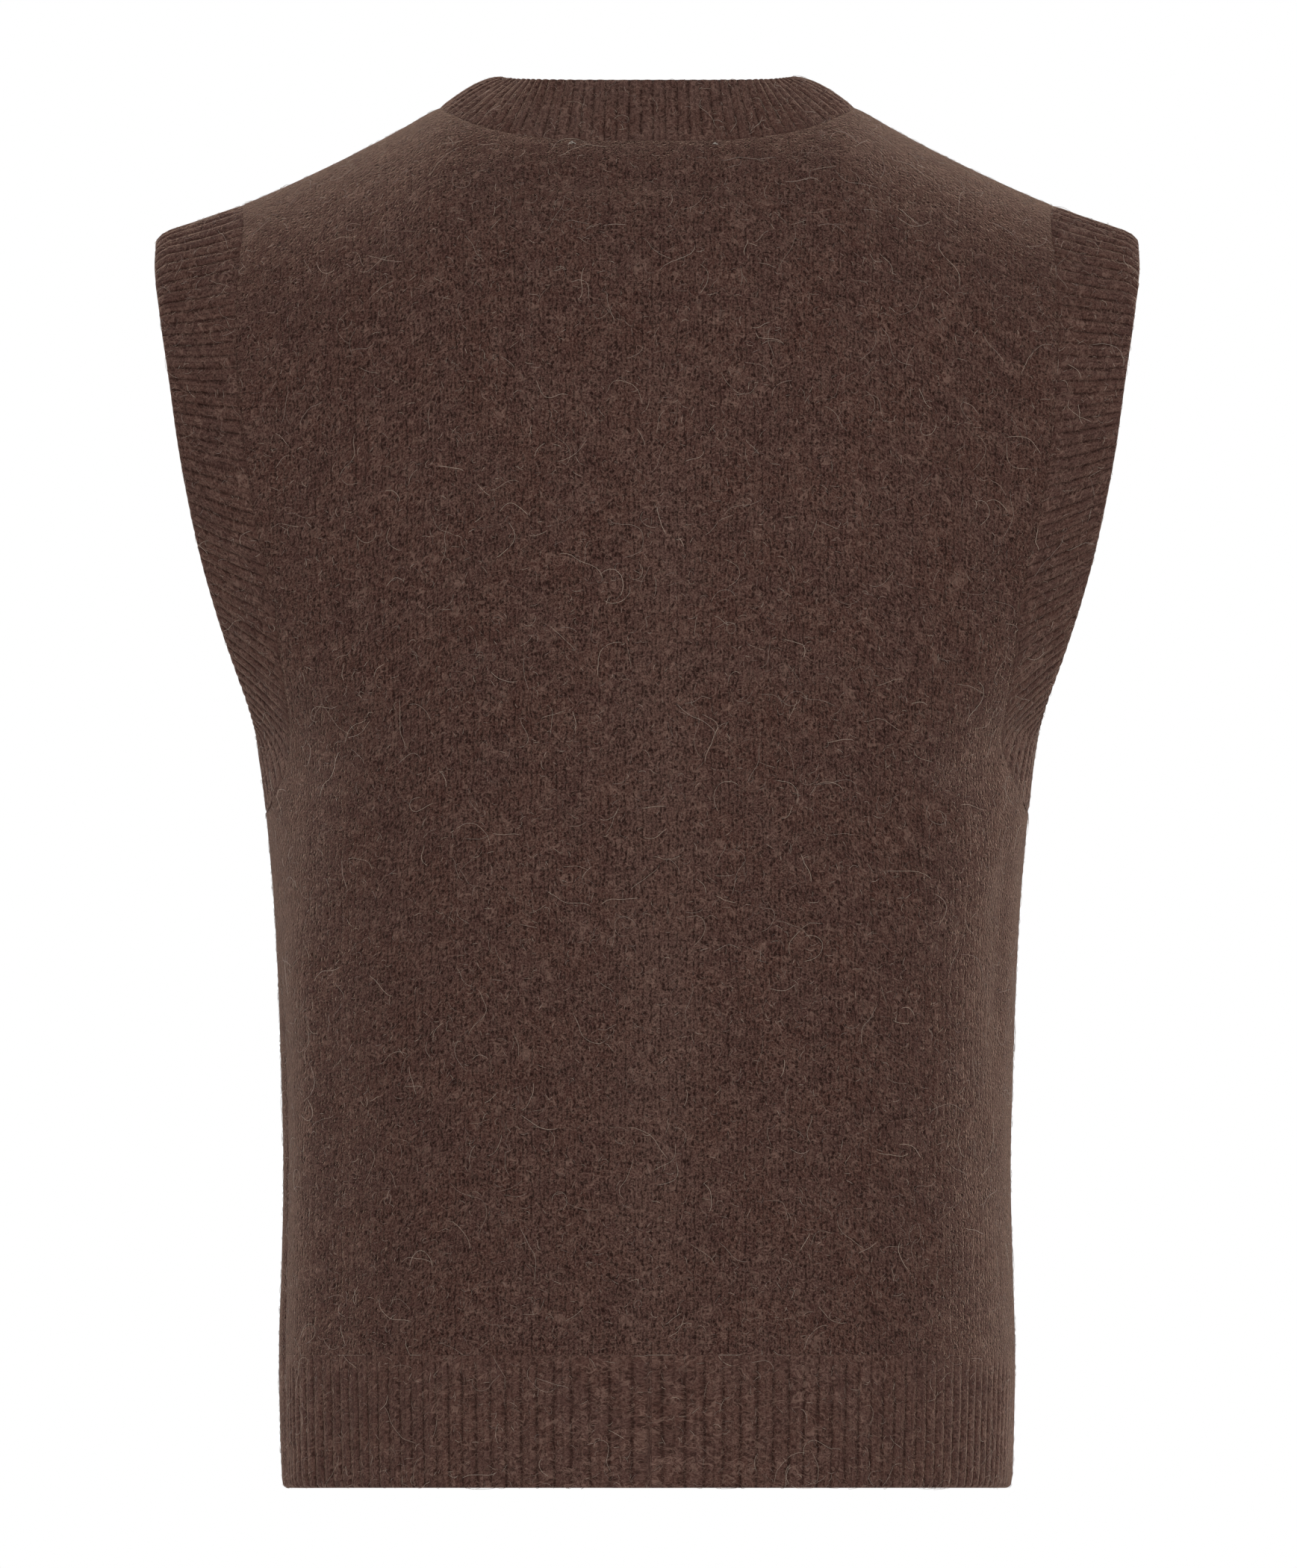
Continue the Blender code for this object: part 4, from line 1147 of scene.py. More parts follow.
def knit_armhole_band(name, hand):
    """The rib round one armhole: its ribs run from the seam out to the rim."""
    band_rib = bpy.context.scene.cardigan.knit.band_rib
    across = graded(ARMHOLE_WIDTH, BAND_ROW, first=True, last=True)
    halves = []
    for side in (BACK, FRONT):
        def middle(falls, side=side):
            places = armhole_places(side, falls, np.array([ARMHOLE_MIDDLE]))
            return [place[:, 0] for place in places]

        falls, turns = even_stops(middle, side, band_rib, ARMHOLE_STEPS)
        places = armhole_places(side, falls, across * RIM_REACH)
        halves.append((Cloth.on_form(*places, side), turns))
    (back, back_turns), (front, front_turns) = halves
    ring = back.joined(front.rows(slice(-2, 0, -1))).worn(hand)
    turns = np.concatenate([back_turns, back_turns[-1] + front_turns[1:-1]])[:, None]
    along = ring.ways()[1]
    inwards = along[:, -1:] - along
    fade = (1 - nearness(along, BAND_EASE)) * (1 - 0.6 * nearness(inwards, BAND_EASE))
    knit_rib(name, ring, band_rib, turns, along, edge_rounding(inwards), fade,
             nearness(along, SEAM_REACH), apart=ARMHOLE_APART * hand, ring=True)


def heading(place, at, side, step=STEP):
    """Unit directions of a line on the form, from its places a little way apart."""
    return unit(form_point(*place(at + step), side) - form_point(*place(at - step), side))


def neck_line(parts):
    """Seam of the neck rib over the back, for shares from the centre to the shoulder."""
    along = heading(lambda part: back_top(np.clip(part, 0, 0.5)), parts / 2, BACK)
    return *back_top(parts / 2), along


def front_line(falls, heights):
    """Seam of a front band: down the V to the side seams' level, then to the hem."""
    def straight(z):
        x = np.full(z.shape, FRONT_BAND / 2)
        return angle_at(x, z, FRONT), ridge_z(x) - z

    along = np.concatenate([
        heading(lambda fall: front_seam_point(np.clip(fall, 0, 1)), falls, FRONT),
        heading(straight, heights, FRONT, -STEP)])
    places = zip(front_seam_point(falls), straight(heights))
    return *(np.concatenate(pair) for pair in places), along


def form_at(x, z, side):
    """Mid-cloth points and normals of the form at x and z, on either side of the centre."""
    angle = angle_at(np.abs(x), z, side)
    drop = ridge_z(x) - z
    normal = form_normal(angle, drop, side)
    normal[..., 0] *= np.where(x < 0, -1, 1)
    return np.stack([x, side * form_depth(angle, drop, z, side), z], axis=-1), normal


def band_cloth(line, side, layer, across):
    """Grid of the neck rib or a front band along a line of its seam.

    Round the neck the rib rises out of the cloth's own surface, and bends so that its
    free edge stands level. Down the front it lies on the form, a layer's offset from it
    where it is lapped.
    """
    angle, drop, along = line
    seam = form_point(angle, drop, side)
    normal = form_normal(angle, drop, side)
    flat = unit(np.cross(normal, along))
    flat *= np.where(flat @ np.array([-1.0, 0.0, 1.0]) < 0, -1, 1)[:, None]
    settled = lapped = np.zeros(len(drop))
    if side == FRONT:
        settled = smooth_step((drop - SETTLE[0]) / (SETTLE[1] - SETTLE[0]))
        lapped = smooth_step((drop - LAP_FADE[0]) / (LAP_FADE[1] - LAP_FADE[0]))
    shoulder = (seam[:, 0] / NECK_HALF_WIDTH) ** 2
    lift = ((NECK_LIFT + SHOULDER_LIFT * shoulder) * (1 - settled))[:, None]
    turn = (NECK_TURN * (1 - settled))[:, None]
    share = np.full((len(drop), 1), NECK_BEND[1])
    width = blend(NECK_BAND, FRONT_BAND, settled)[:, None]
    rising = flat * np.cos(lift) + normal * np.sin(lift)
    if side == BACK:
        share = blend(*NECK_BEND, shoulder[:, None])
    rise = (NECK_TOP_Z - seam[:, 2:]) / width - share * rising[:, 2:]
    reach = np.hypot(flat[:, 2:], normal[:, 2:]) * (1 - share)
    level = np.arcsin(np.clip(rise / reach, -1, 1)) - np.arctan2(flat[:, 2:], normal[:, 2:])
    past = 0.0 if side == BACK else smooth_step(drop / PAST_SHOULDER)[:, None]
    turn = blend(level, turn, past)
    turned = flat * np.cos(turn) + normal * np.sin(turn)
    bend = seam + rising * width * share
    end = bend + turned * width * (1 - share)
    part = across[None, :, None]
    seam_line, bend_line, end_line = seam[:, None], bend[:, None], end[:, None]
    points = blend(blend(seam_line, bend_line, part), blend(bend_line, end_line, part), part)
    outwards = blend(bend_line - seam_line, end_line - bend_line, part)
    square = unit(np.cross(along[:, None], outwards))
    square = square * np.sign(np.sum(square * normal[:, None], axis=-1, keepdims=True))
    if side == FRONT:
        on_form, form_square = form_at(points[..., 0], points[..., 2], side)
        share = settled[:, None, None]
        points = blend(points, on_form, share)
        square = unit(blend(square, form_square, share))
    points = points + square * (layer * LAP_OFFSET * lapped)[:, None, None]
    girth = seam[:, :1] - across[None, :] * width
    fall = np.broadcast_to(arc_of(drop)[:, None], girth.shape)
    return Cloth(points, square, girth, fall, side)


def knit_neck_band(name):
    """The rib round the back neck, which leans up and in towards the wearer's neck."""
    band_rib = bpy.context.scene.cardigan.knit.band_rib
    shares, turns = even_stops(neck_line, BACK, band_rib)
    across = graded(NECK_BAND, NECK_ROW, first=True, last=True)
    half = band_cloth(neck_line(shares), BACK, 0, across)
    cloth = half.mirrored().rows(slice(None, 0, -1)).joined(half)
    turns = np.concatenate([-turns[:0:-1], turns])[:, None] + 0.5
    down, along = cloth.ways()
    edge = np.minimum(np.minimum(down, down[-1:] - down), along)
    # paler=0.22 is painted light: the neck rib is tinted lighter for the light it catches as it
    # leans up
    knit_rib(name, cloth, band_rib, turns, along, edge_rounding(along[:, -1:] - along),
             1 - nearness(along, BAND_EASE), nearness(edge, SEAM_REACH), paler=0.22)


def knit_front_band(name, hand, layer):
    """A front band: round the neck from the shoulder seam, down the V and to the hem."""
    band_rib = bpy.context.scene.cardigan.knit.band_rib
    falls, v_turns = even_stops(
        lambda falls: front_line(falls, np.zeros(0)), FRONT, band_rib)
    straight = SIDE_TOP_Z - HEM
    ribs = round(straight / band_rib)
    drops = graded(straight, straight / (ribs * RIB_LINES[FRONT]), last=True)[1:]
    across = graded(FRONT_BAND, BAND_ROW, first=True, last=True)
    line = front_line(falls, blend(SIDE_TOP_Z, HEM, drops))
    cloth = band_cloth(line, FRONT, layer, across).worn(hand)
    turns = np.concatenate([v_turns, v_turns[-1] + drops * ribs])[:, None]
    down, along = cloth.ways()
    thin = edge_rounding(np.minimum(along[:, -1:] - along, down[-1:] - down))
    knit_rib(name, cloth, band_rib, turns, along, thin, 1 - nearness(along, BAND_EASE),
             nearness(np.minimum(along, down), SEAM_REACH), apart=FRONT_APART * hand)


# ---------------------------------------------------------------- nap
def outer_faces(piece):
    """Corners, area and normal of the triangles on a cloth's outer face."""
    mesh = piece.data
    mesh.calc_loop_triangles()
    triangles = mesh.loop_triangles
    corners = read_all(triangles, "vertices", width=3).reshape(-1, 3)
    kinds = read_all(mesh.polygons, "material_index")
    outer = kinds[read_all(triangles, "polygon_index")] == 0
    points = read_all(mesh.vertices, "co", float, 3).reshape(-1, 3)[corners[outer]]
    cross = np.cross(points[:, 1] - points[:, 0], points[:, 2] - points[:, 0])
    return points, np.linalg.norm(cross, axis=1) / 2, unit(cross)


def hair_mesh(name, paths, radii, tones, material):
    """Three-sided hairs with pointed ends along paths, joined in one mesh."""
    verts, faces, shades = [], [], []
    for path, radius, tone in zip(paths, radii, tones):
        start = len(verts)
        verts.append(path[0])
        for before, here, after in zip(path, path[1:], path[2:]):
            along = (after - before).normalized()
            side = along.orthogonal().normalized()
            up = along.cross(side)
            for turn in range(3):
                angle = math.tau * turn / 3
                verts.append(here + (side * math.cos(angle) + up * math.sin(angle)) * radius)
        verts.append(path[-1])
        tip = len(verts) - 1
        for turn in range(3):
            after = (turn + 1) % 3
            faces.append((start, start + 1 + after, start + 1 + turn))
            for low in range(start + 1, tip - 3, 3):
                faces.append((low + turn, low + after, low + 3 + after, low + 3 + turn))
            faces.append((tip - 3 + turn, tip - 3 + after, tip))
        shades += [tone] * (tip + 1 - start)
    mesh = bpy.data.meshes.new(name)
    mesh.from_pydata(verts, [], faces)
    mesh.attributes.new("tone", "FLOAT", "POINT").data.foreach_set("value", shades)
    mesh.materials.append(material)
    mesh.shade_smooth()
    return new_object(name, mesh)


HAIR_REACH = 0.02         # how far from a hair its cloth is looked for
HAIR_CLEARANCE = 0.00008
CURL_KEPT = 0.8           # how much of its bend a hair keeps from step to step
CURL_NEW = 0.6            # and how much of a new one it takes up


def curled_path(rng, tree, root, normal, length, steps, curl, lift):
    """A hair that wanders over the cloth and lies within a lift of it."""
    heading = normal.orthogonal().normalized()
    heading.rotate(Matrix.Rotation(rng.uniform(0, math.tau), 3, normal))
    bend = rng.normal(0, curl)
    point = root
    path = []
    for k in range(steps + 1):
        near, square, _, _ = tree.find_nearest(point, HAIR_REACH)
        if near is None:
            near, square = point, normal
        path.append(near + square * (math.sin(math.pi * k / steps) * lift + HAIR_CLEARANCE))
        heading = heading - square * heading.dot(square)
        if heading.length < 1e-6:
            heading = square.orthogonal()
        heading.normalize()
        heading.rotate(Matrix.Rotation(bend * length / steps, 3, square))
        bend = bend * CURL_KEPT + rng.normal(0, curl * CURL_NEW)
        point = near + heading * (length / steps)
    return path


def raise_nap(piece, seed):
    """Short curls and a few long stray hairs over the outer face of one piece of cloth."""
    settings = bpy.context.scene.cardigan
    nap = settings.nap
    rng = np.random.default_rng(seed)
    triangles, areas, normals = outer_faces(piece)
    shares = np.cumsum(areas) / areas.sum()
    tree = BVHTree.FromPolygons([Vector(p) for p in triangles.reshape(-1, 3)],
                                np.arange(len(triangles) * 3).reshape(-1, 3).tolist())
    paths, radii, tones = [], [], []
    for density, (least, most), steps, curl, lift, paler in (
            (nap.short_density, (0.0022, 0.0065), 4, 420.0, 0.0004, 0.0),
            (nap.long_density, (0.008, 0.026), 12, 150.0, 0.0007, 0.34)):
        for _ in range(int(areas.sum() * density)):
            face = int(np.searchsorted(shares, rng.uniform()))
            a, b = sorted(rng.uniform(0, 1, 2))
            corner = triangles[face]
            root = Vector(corner[0] * a + corner[1] * (b - a) + corner[2] * (1 - b))
            length = blend(least, most, rng.uniform() ** 2)
            paths.append(curled_path(rng, tree, root, Vector(normals[face]), length, steps,
                                     curl, lift * rng.uniform(0.3, 1.0)))
            radii.append(nap.thickness / 2 * rng.uniform(0.7, 1.2))
            tones.append(min(rng.uniform() ** 1.5 + paler, 1.0))
    material = hair_material(f"wool_hair_{piece.name}")
    made = hair_mesh(f"nap_{piece.name}", paths, radii, tones, material)
    dress(made, None)
    return made


# ---------------------------------------------------------------- buttons
BUTTONS = 5
BUTTON_SIDES = 64
HOLE_SIDES = 20
# A button's face, from its rim in: each inset in radii, and its depth in thicknesses.
BUTTON_DISH = ((0.26, 0.0), (0.10, -0.30), (0.08, -0.04))
BUTTON_BACK_INSET = 0.18
RIM_BEVEL = 0.24          # in thicknesses
THREAD_SEAT = 0.66        # height in thicknesses at which the thread crosses
THREAD_CROSSING = (1.2, 1.7)      # how far each pair of strands lies above it, in threads
THREAD_PLACES = (-0.5, 0.0, 0.5)  # the three strands side by side, in threads
THREAD_RISE = 1.15
THREAD_BOW = 0.75


def deselect_all():
    for other in bpy.context.view_layer.objects:
        other.select_set(False)


def select_faces(piece, wanted):
    """Selects in edit mode the faces of a mesh whose normal a test accepts."""
    bpy.ops.object.mode_set(mode="EDIT")
    bpy.ops.mesh.select_mode(type="FACE")
    bpy.ops.mesh.select_all(action="DESELECT")
    bpy.ops.object.mode_set(mode="OBJECT")
    for face in piece.data.polygons:
        face.select = wanted(face.normal)
    bpy.ops.object.mode_set(mode="EDIT")


def drill_holes(blank, settings):
    """Cuts the four thread holes through a button."""
    drills = []
    for turn in range(4):
        angle = math.tau * (turn + 0.5) / 4
        deselect_all()
        bpy.ops.mesh.primitive_cylinder_add(
            vertices=HOLE_SIDES, radius=settings.hole_radius, depth=settings.thickness * 4,
            location=(math.cos(angle) * settings.hole_pitch,
                      math.sin(angle) * settings.hole_pitch, 0), calc_uvs=False)
        drills.append(bpy.context.object)
    for drill in drills:
        cut = blank.modifiers.new("thread_hole", "BOOLEAN")
        cut.object = drill
        bpy.context.view_layer.objects.active = blank
        bpy.ops.object.modifier_apply(modifier=cut.name)
        bpy.data.objects.remove(drill)


def button_blank(settings):
    """One button about its own Z with its back at zero: turned, dished and drilled."""
    deselect_all()
    bpy.ops.mesh.primitive_cylinder_add(
        vertices=BUTTON_SIDES, radius=settings.radius, depth=settings.thickness,
        location=(0, 0, settings.thickness / 2), end_fill_type="NGON", calc_uvs=False)
    blank = bpy.context.object
    bpy.ops.object.transform_apply(location=True, rotation=True, scale=True)
    select_faces(blank, lambda normal: normal.z > 0.9)
    for inset, depth in BUTTON_DISH:
        bpy.ops.mesh.inset(
            thickness=settings.radius * inset, depth=settings.thickness * depth)
    select_faces(blank, lambda normal: normal.z < -0.9)
    bpy.ops.mesh.inset(thickness=settings.radius * BUTTON_BACK_INSET, depth=0.0)
    bpy.ops.object.mode_set(mode="OBJECT")
    bevel = blank.modifiers.new("rounded_rim", "BEVEL")
    bevel.width = settings.thickness * RIM_BEVEL
    bevel.segments = 4
    bevel.limit_method = "ANGLE"
    bevel.angle_limit = math.radians(40)
    bpy.ops.object.modifier_apply(modifier=bevel.name)
    drill_holes(blank, settings)
    deselect_all()
    blank.select_set(True)
    bpy.ops.object.shade_smooth_by_angle(angle=math.radians(35))
    return blank


def thread_strands(settings, reach):
    """Thread through the four holes and down into the band, about the button's own Z."""
    deselect_all()
    strands = []
    for turn in range(2):
        angle = math.pi / 4 + turn * math.pi / 2
        out = Vector((math.cos(angle), math.sin(angle), 0)) * settings.hole_pitch
        across = Vector((-math.sin(angle), math.cos(angle), 0)) * settings.thread
        crossing = THREAD_CROSSING[turn] * settings.thread
        bump = settings.thickness * THREAD_SEAT + crossing
        foot = Vector((0, 0, -reach))
        rise = Vector((0, 0, reach + bump * THREAD_RISE))
        for offset in THREAD_PLACES:
            side = across * offset
            bpy.ops.curve.primitive_bezier_curve_add(location=(0, 0, 0))
            strand = bpy.context.object
            points = strand.data.splines[0].bezier_points
            points.add(1)
            for point, place, before, after in zip(
                    points, (foot - out, Vector((0, 0, bump)), foot + out),
                    (rise * -0.3, out * -THREAD_BOW, rise),
                    (rise, out * THREAD_BOW, rise * -0.3)):
                point.co = place + side
                point.handle_left_type = "FREE"
                point.handle_right_type = "FREE"
                point.handle_left = point.co + before
                point.handle_right = point.co + after
            strand.data.bevel_depth = settings.thread / 2
            strand.data.bevel_resolution = 2
            strand.data.resolution_u = 8
            strand.data.use_fill_caps = True
            strands.append(strand)
    deselect_all()
    for strand in strands:
        strand.select_set(True)
    bpy.context.view_layer.objects.active = strands[0]
    bpy.ops.object.convert(target="MESH")
    bpy.ops.object.join()
    thread = bpy.context.object
    bpy.ops.object.shade_smooth()
    return thread


def placed_copy(blank, name, matrix, material):
    """A copy with a mesh of its own, its place written into the mesh."""
    mesh = blank.data.copy()
    mesh.name = name
    mesh.transform(matrix)
    mesh.materials.clear()
    mesh.materials.append(material)
    return new_object(name, mesh)


def button_place(node, sink=0.0):
    """Where a button sits: its back's middle, sunk so far, and its outward direction."""
    low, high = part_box(node)
    middle = (low + high) / 2
    _, normal = form_at(np.array([0.0]), np.array([middle.z]), FRONT)
    outward = Vector(normal[0])
    back = middle - outward * (bpy.context.scene.cardigan.button.thickness / 2 + sink)
    return Matrix.Translation(back) @ outward.to_track_quat("Z", "Y").to_matrix().to_4x4()


def horn_material(name):
    """Polyester resin cast to look like horn: cloudy dark brown with paler streaks."""
    colours = bpy.context.scene.cardigan.colours
    material, tree, shader = new_material(name)
    where = add_node(tree, "ShaderNodeTexCoord", output="Object")
    stretched = add_node(tree, "ShaderNodeMapping", None, {
        "Vector": where, "Scale": (900.0, 300.0, 260.0)})
    streaks = add_node(tree, "ShaderNodeTexNoise", None, {
        "Vector": stretched, "Scale": 0.45, "Detail": 4.0, "Distortion": 1.1})
    share = add_node(tree, "ShaderNodeMapRange", SMOOTH, {
        "Value": streaks, "From Min": 0.42, "From Max": 0.78})
    colour = add_node(tree, "ShaderNodeMix", MIX, {
        0: share, 6: (*colours.button, 1.0), 7: (*colours.button_streak, 1.0)}, 2)
    tree.links.new(colour, shader.inputs["Base Color"])
    rough = add_node(tree, "ShaderNodeMapRange", None, {
        "Value": streaks, "To Min": 0.26, "To Max": 0.40})
    tree.links.new(rough, shader.inputs["Roughness"])
    set_inputs(shader, IOR=1.54)
    return material


def thread_material(name, colour):
    """Spun polyester thread, its two plies showing as fine slanting ridges, with shade painted in
    the grooves between them.
    """
    material, tree, shader = new_material(name)
    where = add_node(tree, "ShaderNodeTexCoord", output="Object")
    plies = add_node(tree, "ShaderNodeTexWave", {"bands_direction": "DIAGONAL"}, {
        "Vector": where, "Scale": 520.0, "Distortion": 1.5, "Detail": 1.0}, "Fac")
    # painted shade: the grooves between the plies are tinted darker
    shade = add_node(tree, "ShaderNodeMix", MIX, {
        0: plies, 6: (*(c * 0.6 for c in colour), 1.0), 7: (*colour, 1.0)}, 2)
    tree.links.new(shade, shader.inputs["Base Color"])
    tree.links.new(add_node(tree, "ShaderNodeBump", None, {
        "Strength": 0.5, "Distance": 0.0001, "Height": plies}), shader.inputs["Normal"])
    set_inputs(shader, Roughness=0.7, Sheen_Weight=0.3)
    return material


STITCHES = 72             # round a buttonhole
STITCH_RINGS = 4          # rings of corners to a stitch
STITCH_SIDES = 6
STITCH_RADIUS = 0.00058
SLIT_PAST_BUTTON = 0.005  # so much longer than the button is wide
SLIT_HALF = 0.0009        # half width of the slit between its edgings
SLIT_SINK = 0.0006        # how far below a button's back its edging lies


def edging_blank(length, gap):
    """Buttonhole stitch round a slit: one cord whose thickness swells at each stitch."""
    half = length / 2 - gap
    straight, bend = 2 * half, math.pi * gap
    verts, faces = [], []
    count = STITCHES * STITCH_RINGS
    for k in range(count):
        way = k / count * 2 * (straight + bend)
        flip = way >= straight + bend
        way -= (straight + bend) * flip
        if way < straight:
            place, out = Vector((gap, way - half, 0)), Vector((1, 0, 0))
        else:
            turn = (way - straight) / gap
            out = Vector((math.cos(turn), math.sin(turn), 0))
            place = Vector((0, half, 0)) + out * gap
        if flip:
            place, out = -place, -out
        thick = STITCH_RADIUS * (0.80 + 0.20 * math.cos(math.tau * k / STITCH_RINGS))
        for side in range(STITCH_SIDES):
            angle = math.tau * side / STITCH_SIDES
            verts.append(place + out * math.cos(angle) * thick
                         + Vector((0, 0, math.sin(angle) * thick)))
        here, ahead = k * STITCH_SIDES, (k + 1) % count * STITCH_SIDES
        for side in range(STITCH_SIDES):
            after = (side + 1) % STITCH_SIDES
            faces.append((here + side, ahead + side, ahead + after, here + after))
    mesh = bpy.data.meshes.new("edging_blank")
    mesh.from_pydata(verts, [], faces)
    mesh.shade_smooth()
    return new_object("edging_blank", mesh)


TACKS = (("left", 0.0318, -0.0144, 0.0013), ("right", -0.0290, -0.0147, 0.0009))
# Each end of thread: x and height where it starts, where it ends, and how far it bows up.
TACK_ENDS = (((-1.3, 0.5), (0.9, -0.3), 0.5), ((-0.4, -0.5), (1.4, 0.4), 0.8))
TACK_STEPS = 8
TACK_RADIUS = 0.00019


def tack_paths(x, z, size):
    """Two crossed ends of the thread that tacks the neck seam, lying on the back."""
    point, normal = form_at(np.array([x]), np.array([z]), BACK)
    middle, square = Vector(point[0]), Vector(normal[0])
    across = Vector((1, 0, 0))
    across = (across - square * across.dot(square)).normalized()
    up = square.cross(across)
    wall = bpy.context.scene.cardigan.knit.half_wall
    paths = []
    for (x0, z0), (x1, z1), bow in TACK_ENDS:
        path = []
        for k in range(TACK_STEPS + 1):
            part = k / TACK_STEPS
            sway = blend(z0, z1, part) + 0.25 * math.sin(math.tau * part + x * 90)
            lift = wall + (0.1 + bow * math.sin(math.pi * part)) * 0.001
            path.append(middle + (across * blend(x0, x1, part) + up * sway) * size
                        + square * lift)
        paths.append(path)
    return paths


# ---------------------------------------------------------------- operators
PANELS = (("front_left", 1), ("front_right", -1))
FLOOR_SIDES = 96
FLOOR_RADIUS = 9.0
CAMERA_X, CAMERA_Y = -0.0006, 4.0
# Lamps, all turned to the middle of the view: place, size and share of the key's power.
LAMPS = (
    ("key", (-0.35, 3.1, 1.0), 1.2, 1.0),
    ("top", (0.0, -1.3, 1.8), 1.4, 0.20),
    ("rim_left", (2.0, -1.25, 0.1), 1.0, 0.62),
    ("rim_right", (-2.0, -1.25, 0.1), 1.0, 0.53),
    ("front_key", (0.35, -3.1, 1.0), 1.6, 0.03),
)


class CARDIGAN_OT_back(bpy.types.Operator):
    """Knit the back panel, from the neck and shoulders to the hem rib"""

    bl_idname = "cardigan.back"
    bl_label = "Knit Back"

    def execute(self, context):
        knit_panel("back", BACK)
        return {"FINISHED"}


class CARDIGAN_OT_fronts(bpy.types.Operator):
    """Knit the two front panels beside the V neck"""

    bl_idname = "cardigan.fronts"
    bl_label = "Knit Fronts"

    def execute(self, context):
        for name, hand in PANELS:
            knit_panel(name, FRONT, hand)
        return {"FINISHED"}


class CARDIGAN_OT_hem_ribs(bpy.types.Operator):
    """Knit the ribs below the back and the fronts"""

    bl_idname = "cardigan.hem_ribs"
    bl_label = "Knit Hem Ribs"

    def execute(self, context):
        knit_hem_rib("hem_rib_back", BACK)
        for name, hand in PANELS:
            knit_hem_rib(f"hem_rib_{name}", FRONT, hand)
        return {"FINISHED"}


class CARDIGAN_OT_armhole_bands(bpy.types.Operator):
    """Knit the rib round each armhole"""

    bl_idname = "cardigan.armhole_bands"
    bl_label = "Knit Armhole Bands"

    def execute(self, context):
        for name, hand in (("left", 1), ("right", -1)):
            knit_armhole_band(f"armhole_band_{name}", hand)
        return {"FINISHED"}


class CARDIGAN_OT_neck_band(bpy.types.Operator):
    """Knit the rib round the back neck"""

    bl_idname = "cardigan.neck_band"
    bl_label = "Knit Neck Band"

    def execute(self, context):
        knit_neck_band("neck_band")
        return {"FINISHED"}


class CARDIGAN_OT_front_bands(bpy.types.Operator):
    """Knit the band with the buttonholes and the band with the buttons"""

    bl_idname = "cardigan.front_bands"
    bl_label = "Knit Front Bands"

    def execute(self, context):
        knit_front_band("button_band", 1, -1)
        knit_front_band("buttonhole_band", -1, 1)
        return {"FINISHED"}


class CARDIGAN_OT_buttonholes(bpy.types.Operator):
    """Work the buttonhole stitch round the slit behind each button"""

    bl_idname = "cardigan.buttonholes"
    bl_label = "Work Buttonholes"

    def execute(self, context):
        settings = context.scene.cardigan
        blank = edging_blank(settings.button.radius * 2 + SLIT_PAST_BUTTON, SLIT_HALF)
        cord = thread_material("buttonhole_silk", settings.colours.thread)
        for count in range(1, BUTTONS + 1):
            place = button_place(f"button_{count}", SLIT_SINK)
            edging = placed_copy(blank, f"buttonhole_{count}", place, cord)
            dress(edging, None)
        bpy.data.objects.remove(blank)
        return {"FINISHED"}


class CARDIGAN_OT_tacks(bpy.types.Operator):
    """Leave the pale ends of the tacking thread below the back neck seam"""

    bl_idname = "cardigan.tacks"
    bl_label = "Leave Tacks"

    def execute(self, context):
        cotton = thread_material("bleached_tacking_cotton", context.scene.cardigan.colours.tack)
        for name, x, z, size in TACKS:
            made = hair_mesh(f"tack_{name}", tack_paths(x, z, size),
                             [TACK_RADIUS] * 2, [1.0] * 2, cotton)
            dress(made, None)
        return {"FINISHED"}


class CARDIGAN_OT_buttons(bpy.types.Operator):
    """Turn the buttons and sew them on with thread through their four holes"""

    bl_idname = "cardigan.buttons"
    bl_label = "Sew Buttons"

    def execute(self, context):
        settings = context.scene.cardigan
        blank = button_blank(settings.button)
        thread = thread_strands(settings.button, LAP_OFFSET)
        horn = horn_material("cast_horn_resin")
        sewing = thread_material("spun_sewing_thread", settings.colours.thread)
        for count in range(1, BUTTONS + 1):
            node = f"button_{count}"
            place = button_place(node)
            dress(placed_copy(blank, f"turned_{node}", place, horn), node)
            dress(placed_copy(thread, f"thread_{node}", place, sewing), None)
        bpy.data.objects.remove(blank)
        bpy.data.objects.remove(thread)
        return {"FINISHED"}


class CARDIGAN_OT_nap(bpy.types.Operator):
    """Raise the nap: loose curled hairs over every piece of cloth"""

    bl_idname = "cardigan.nap"
    bl_label = "Raise Nap"

    def execute(self, context):
        seed = context.scene.cardigan.nap.seed
        for count, name in enumerate(CUTS):
            piece = bpy.data.objects[KNITTED + name]
            extras = [raise_nap(piece, seed + count)]
        return {"FINISHED"}


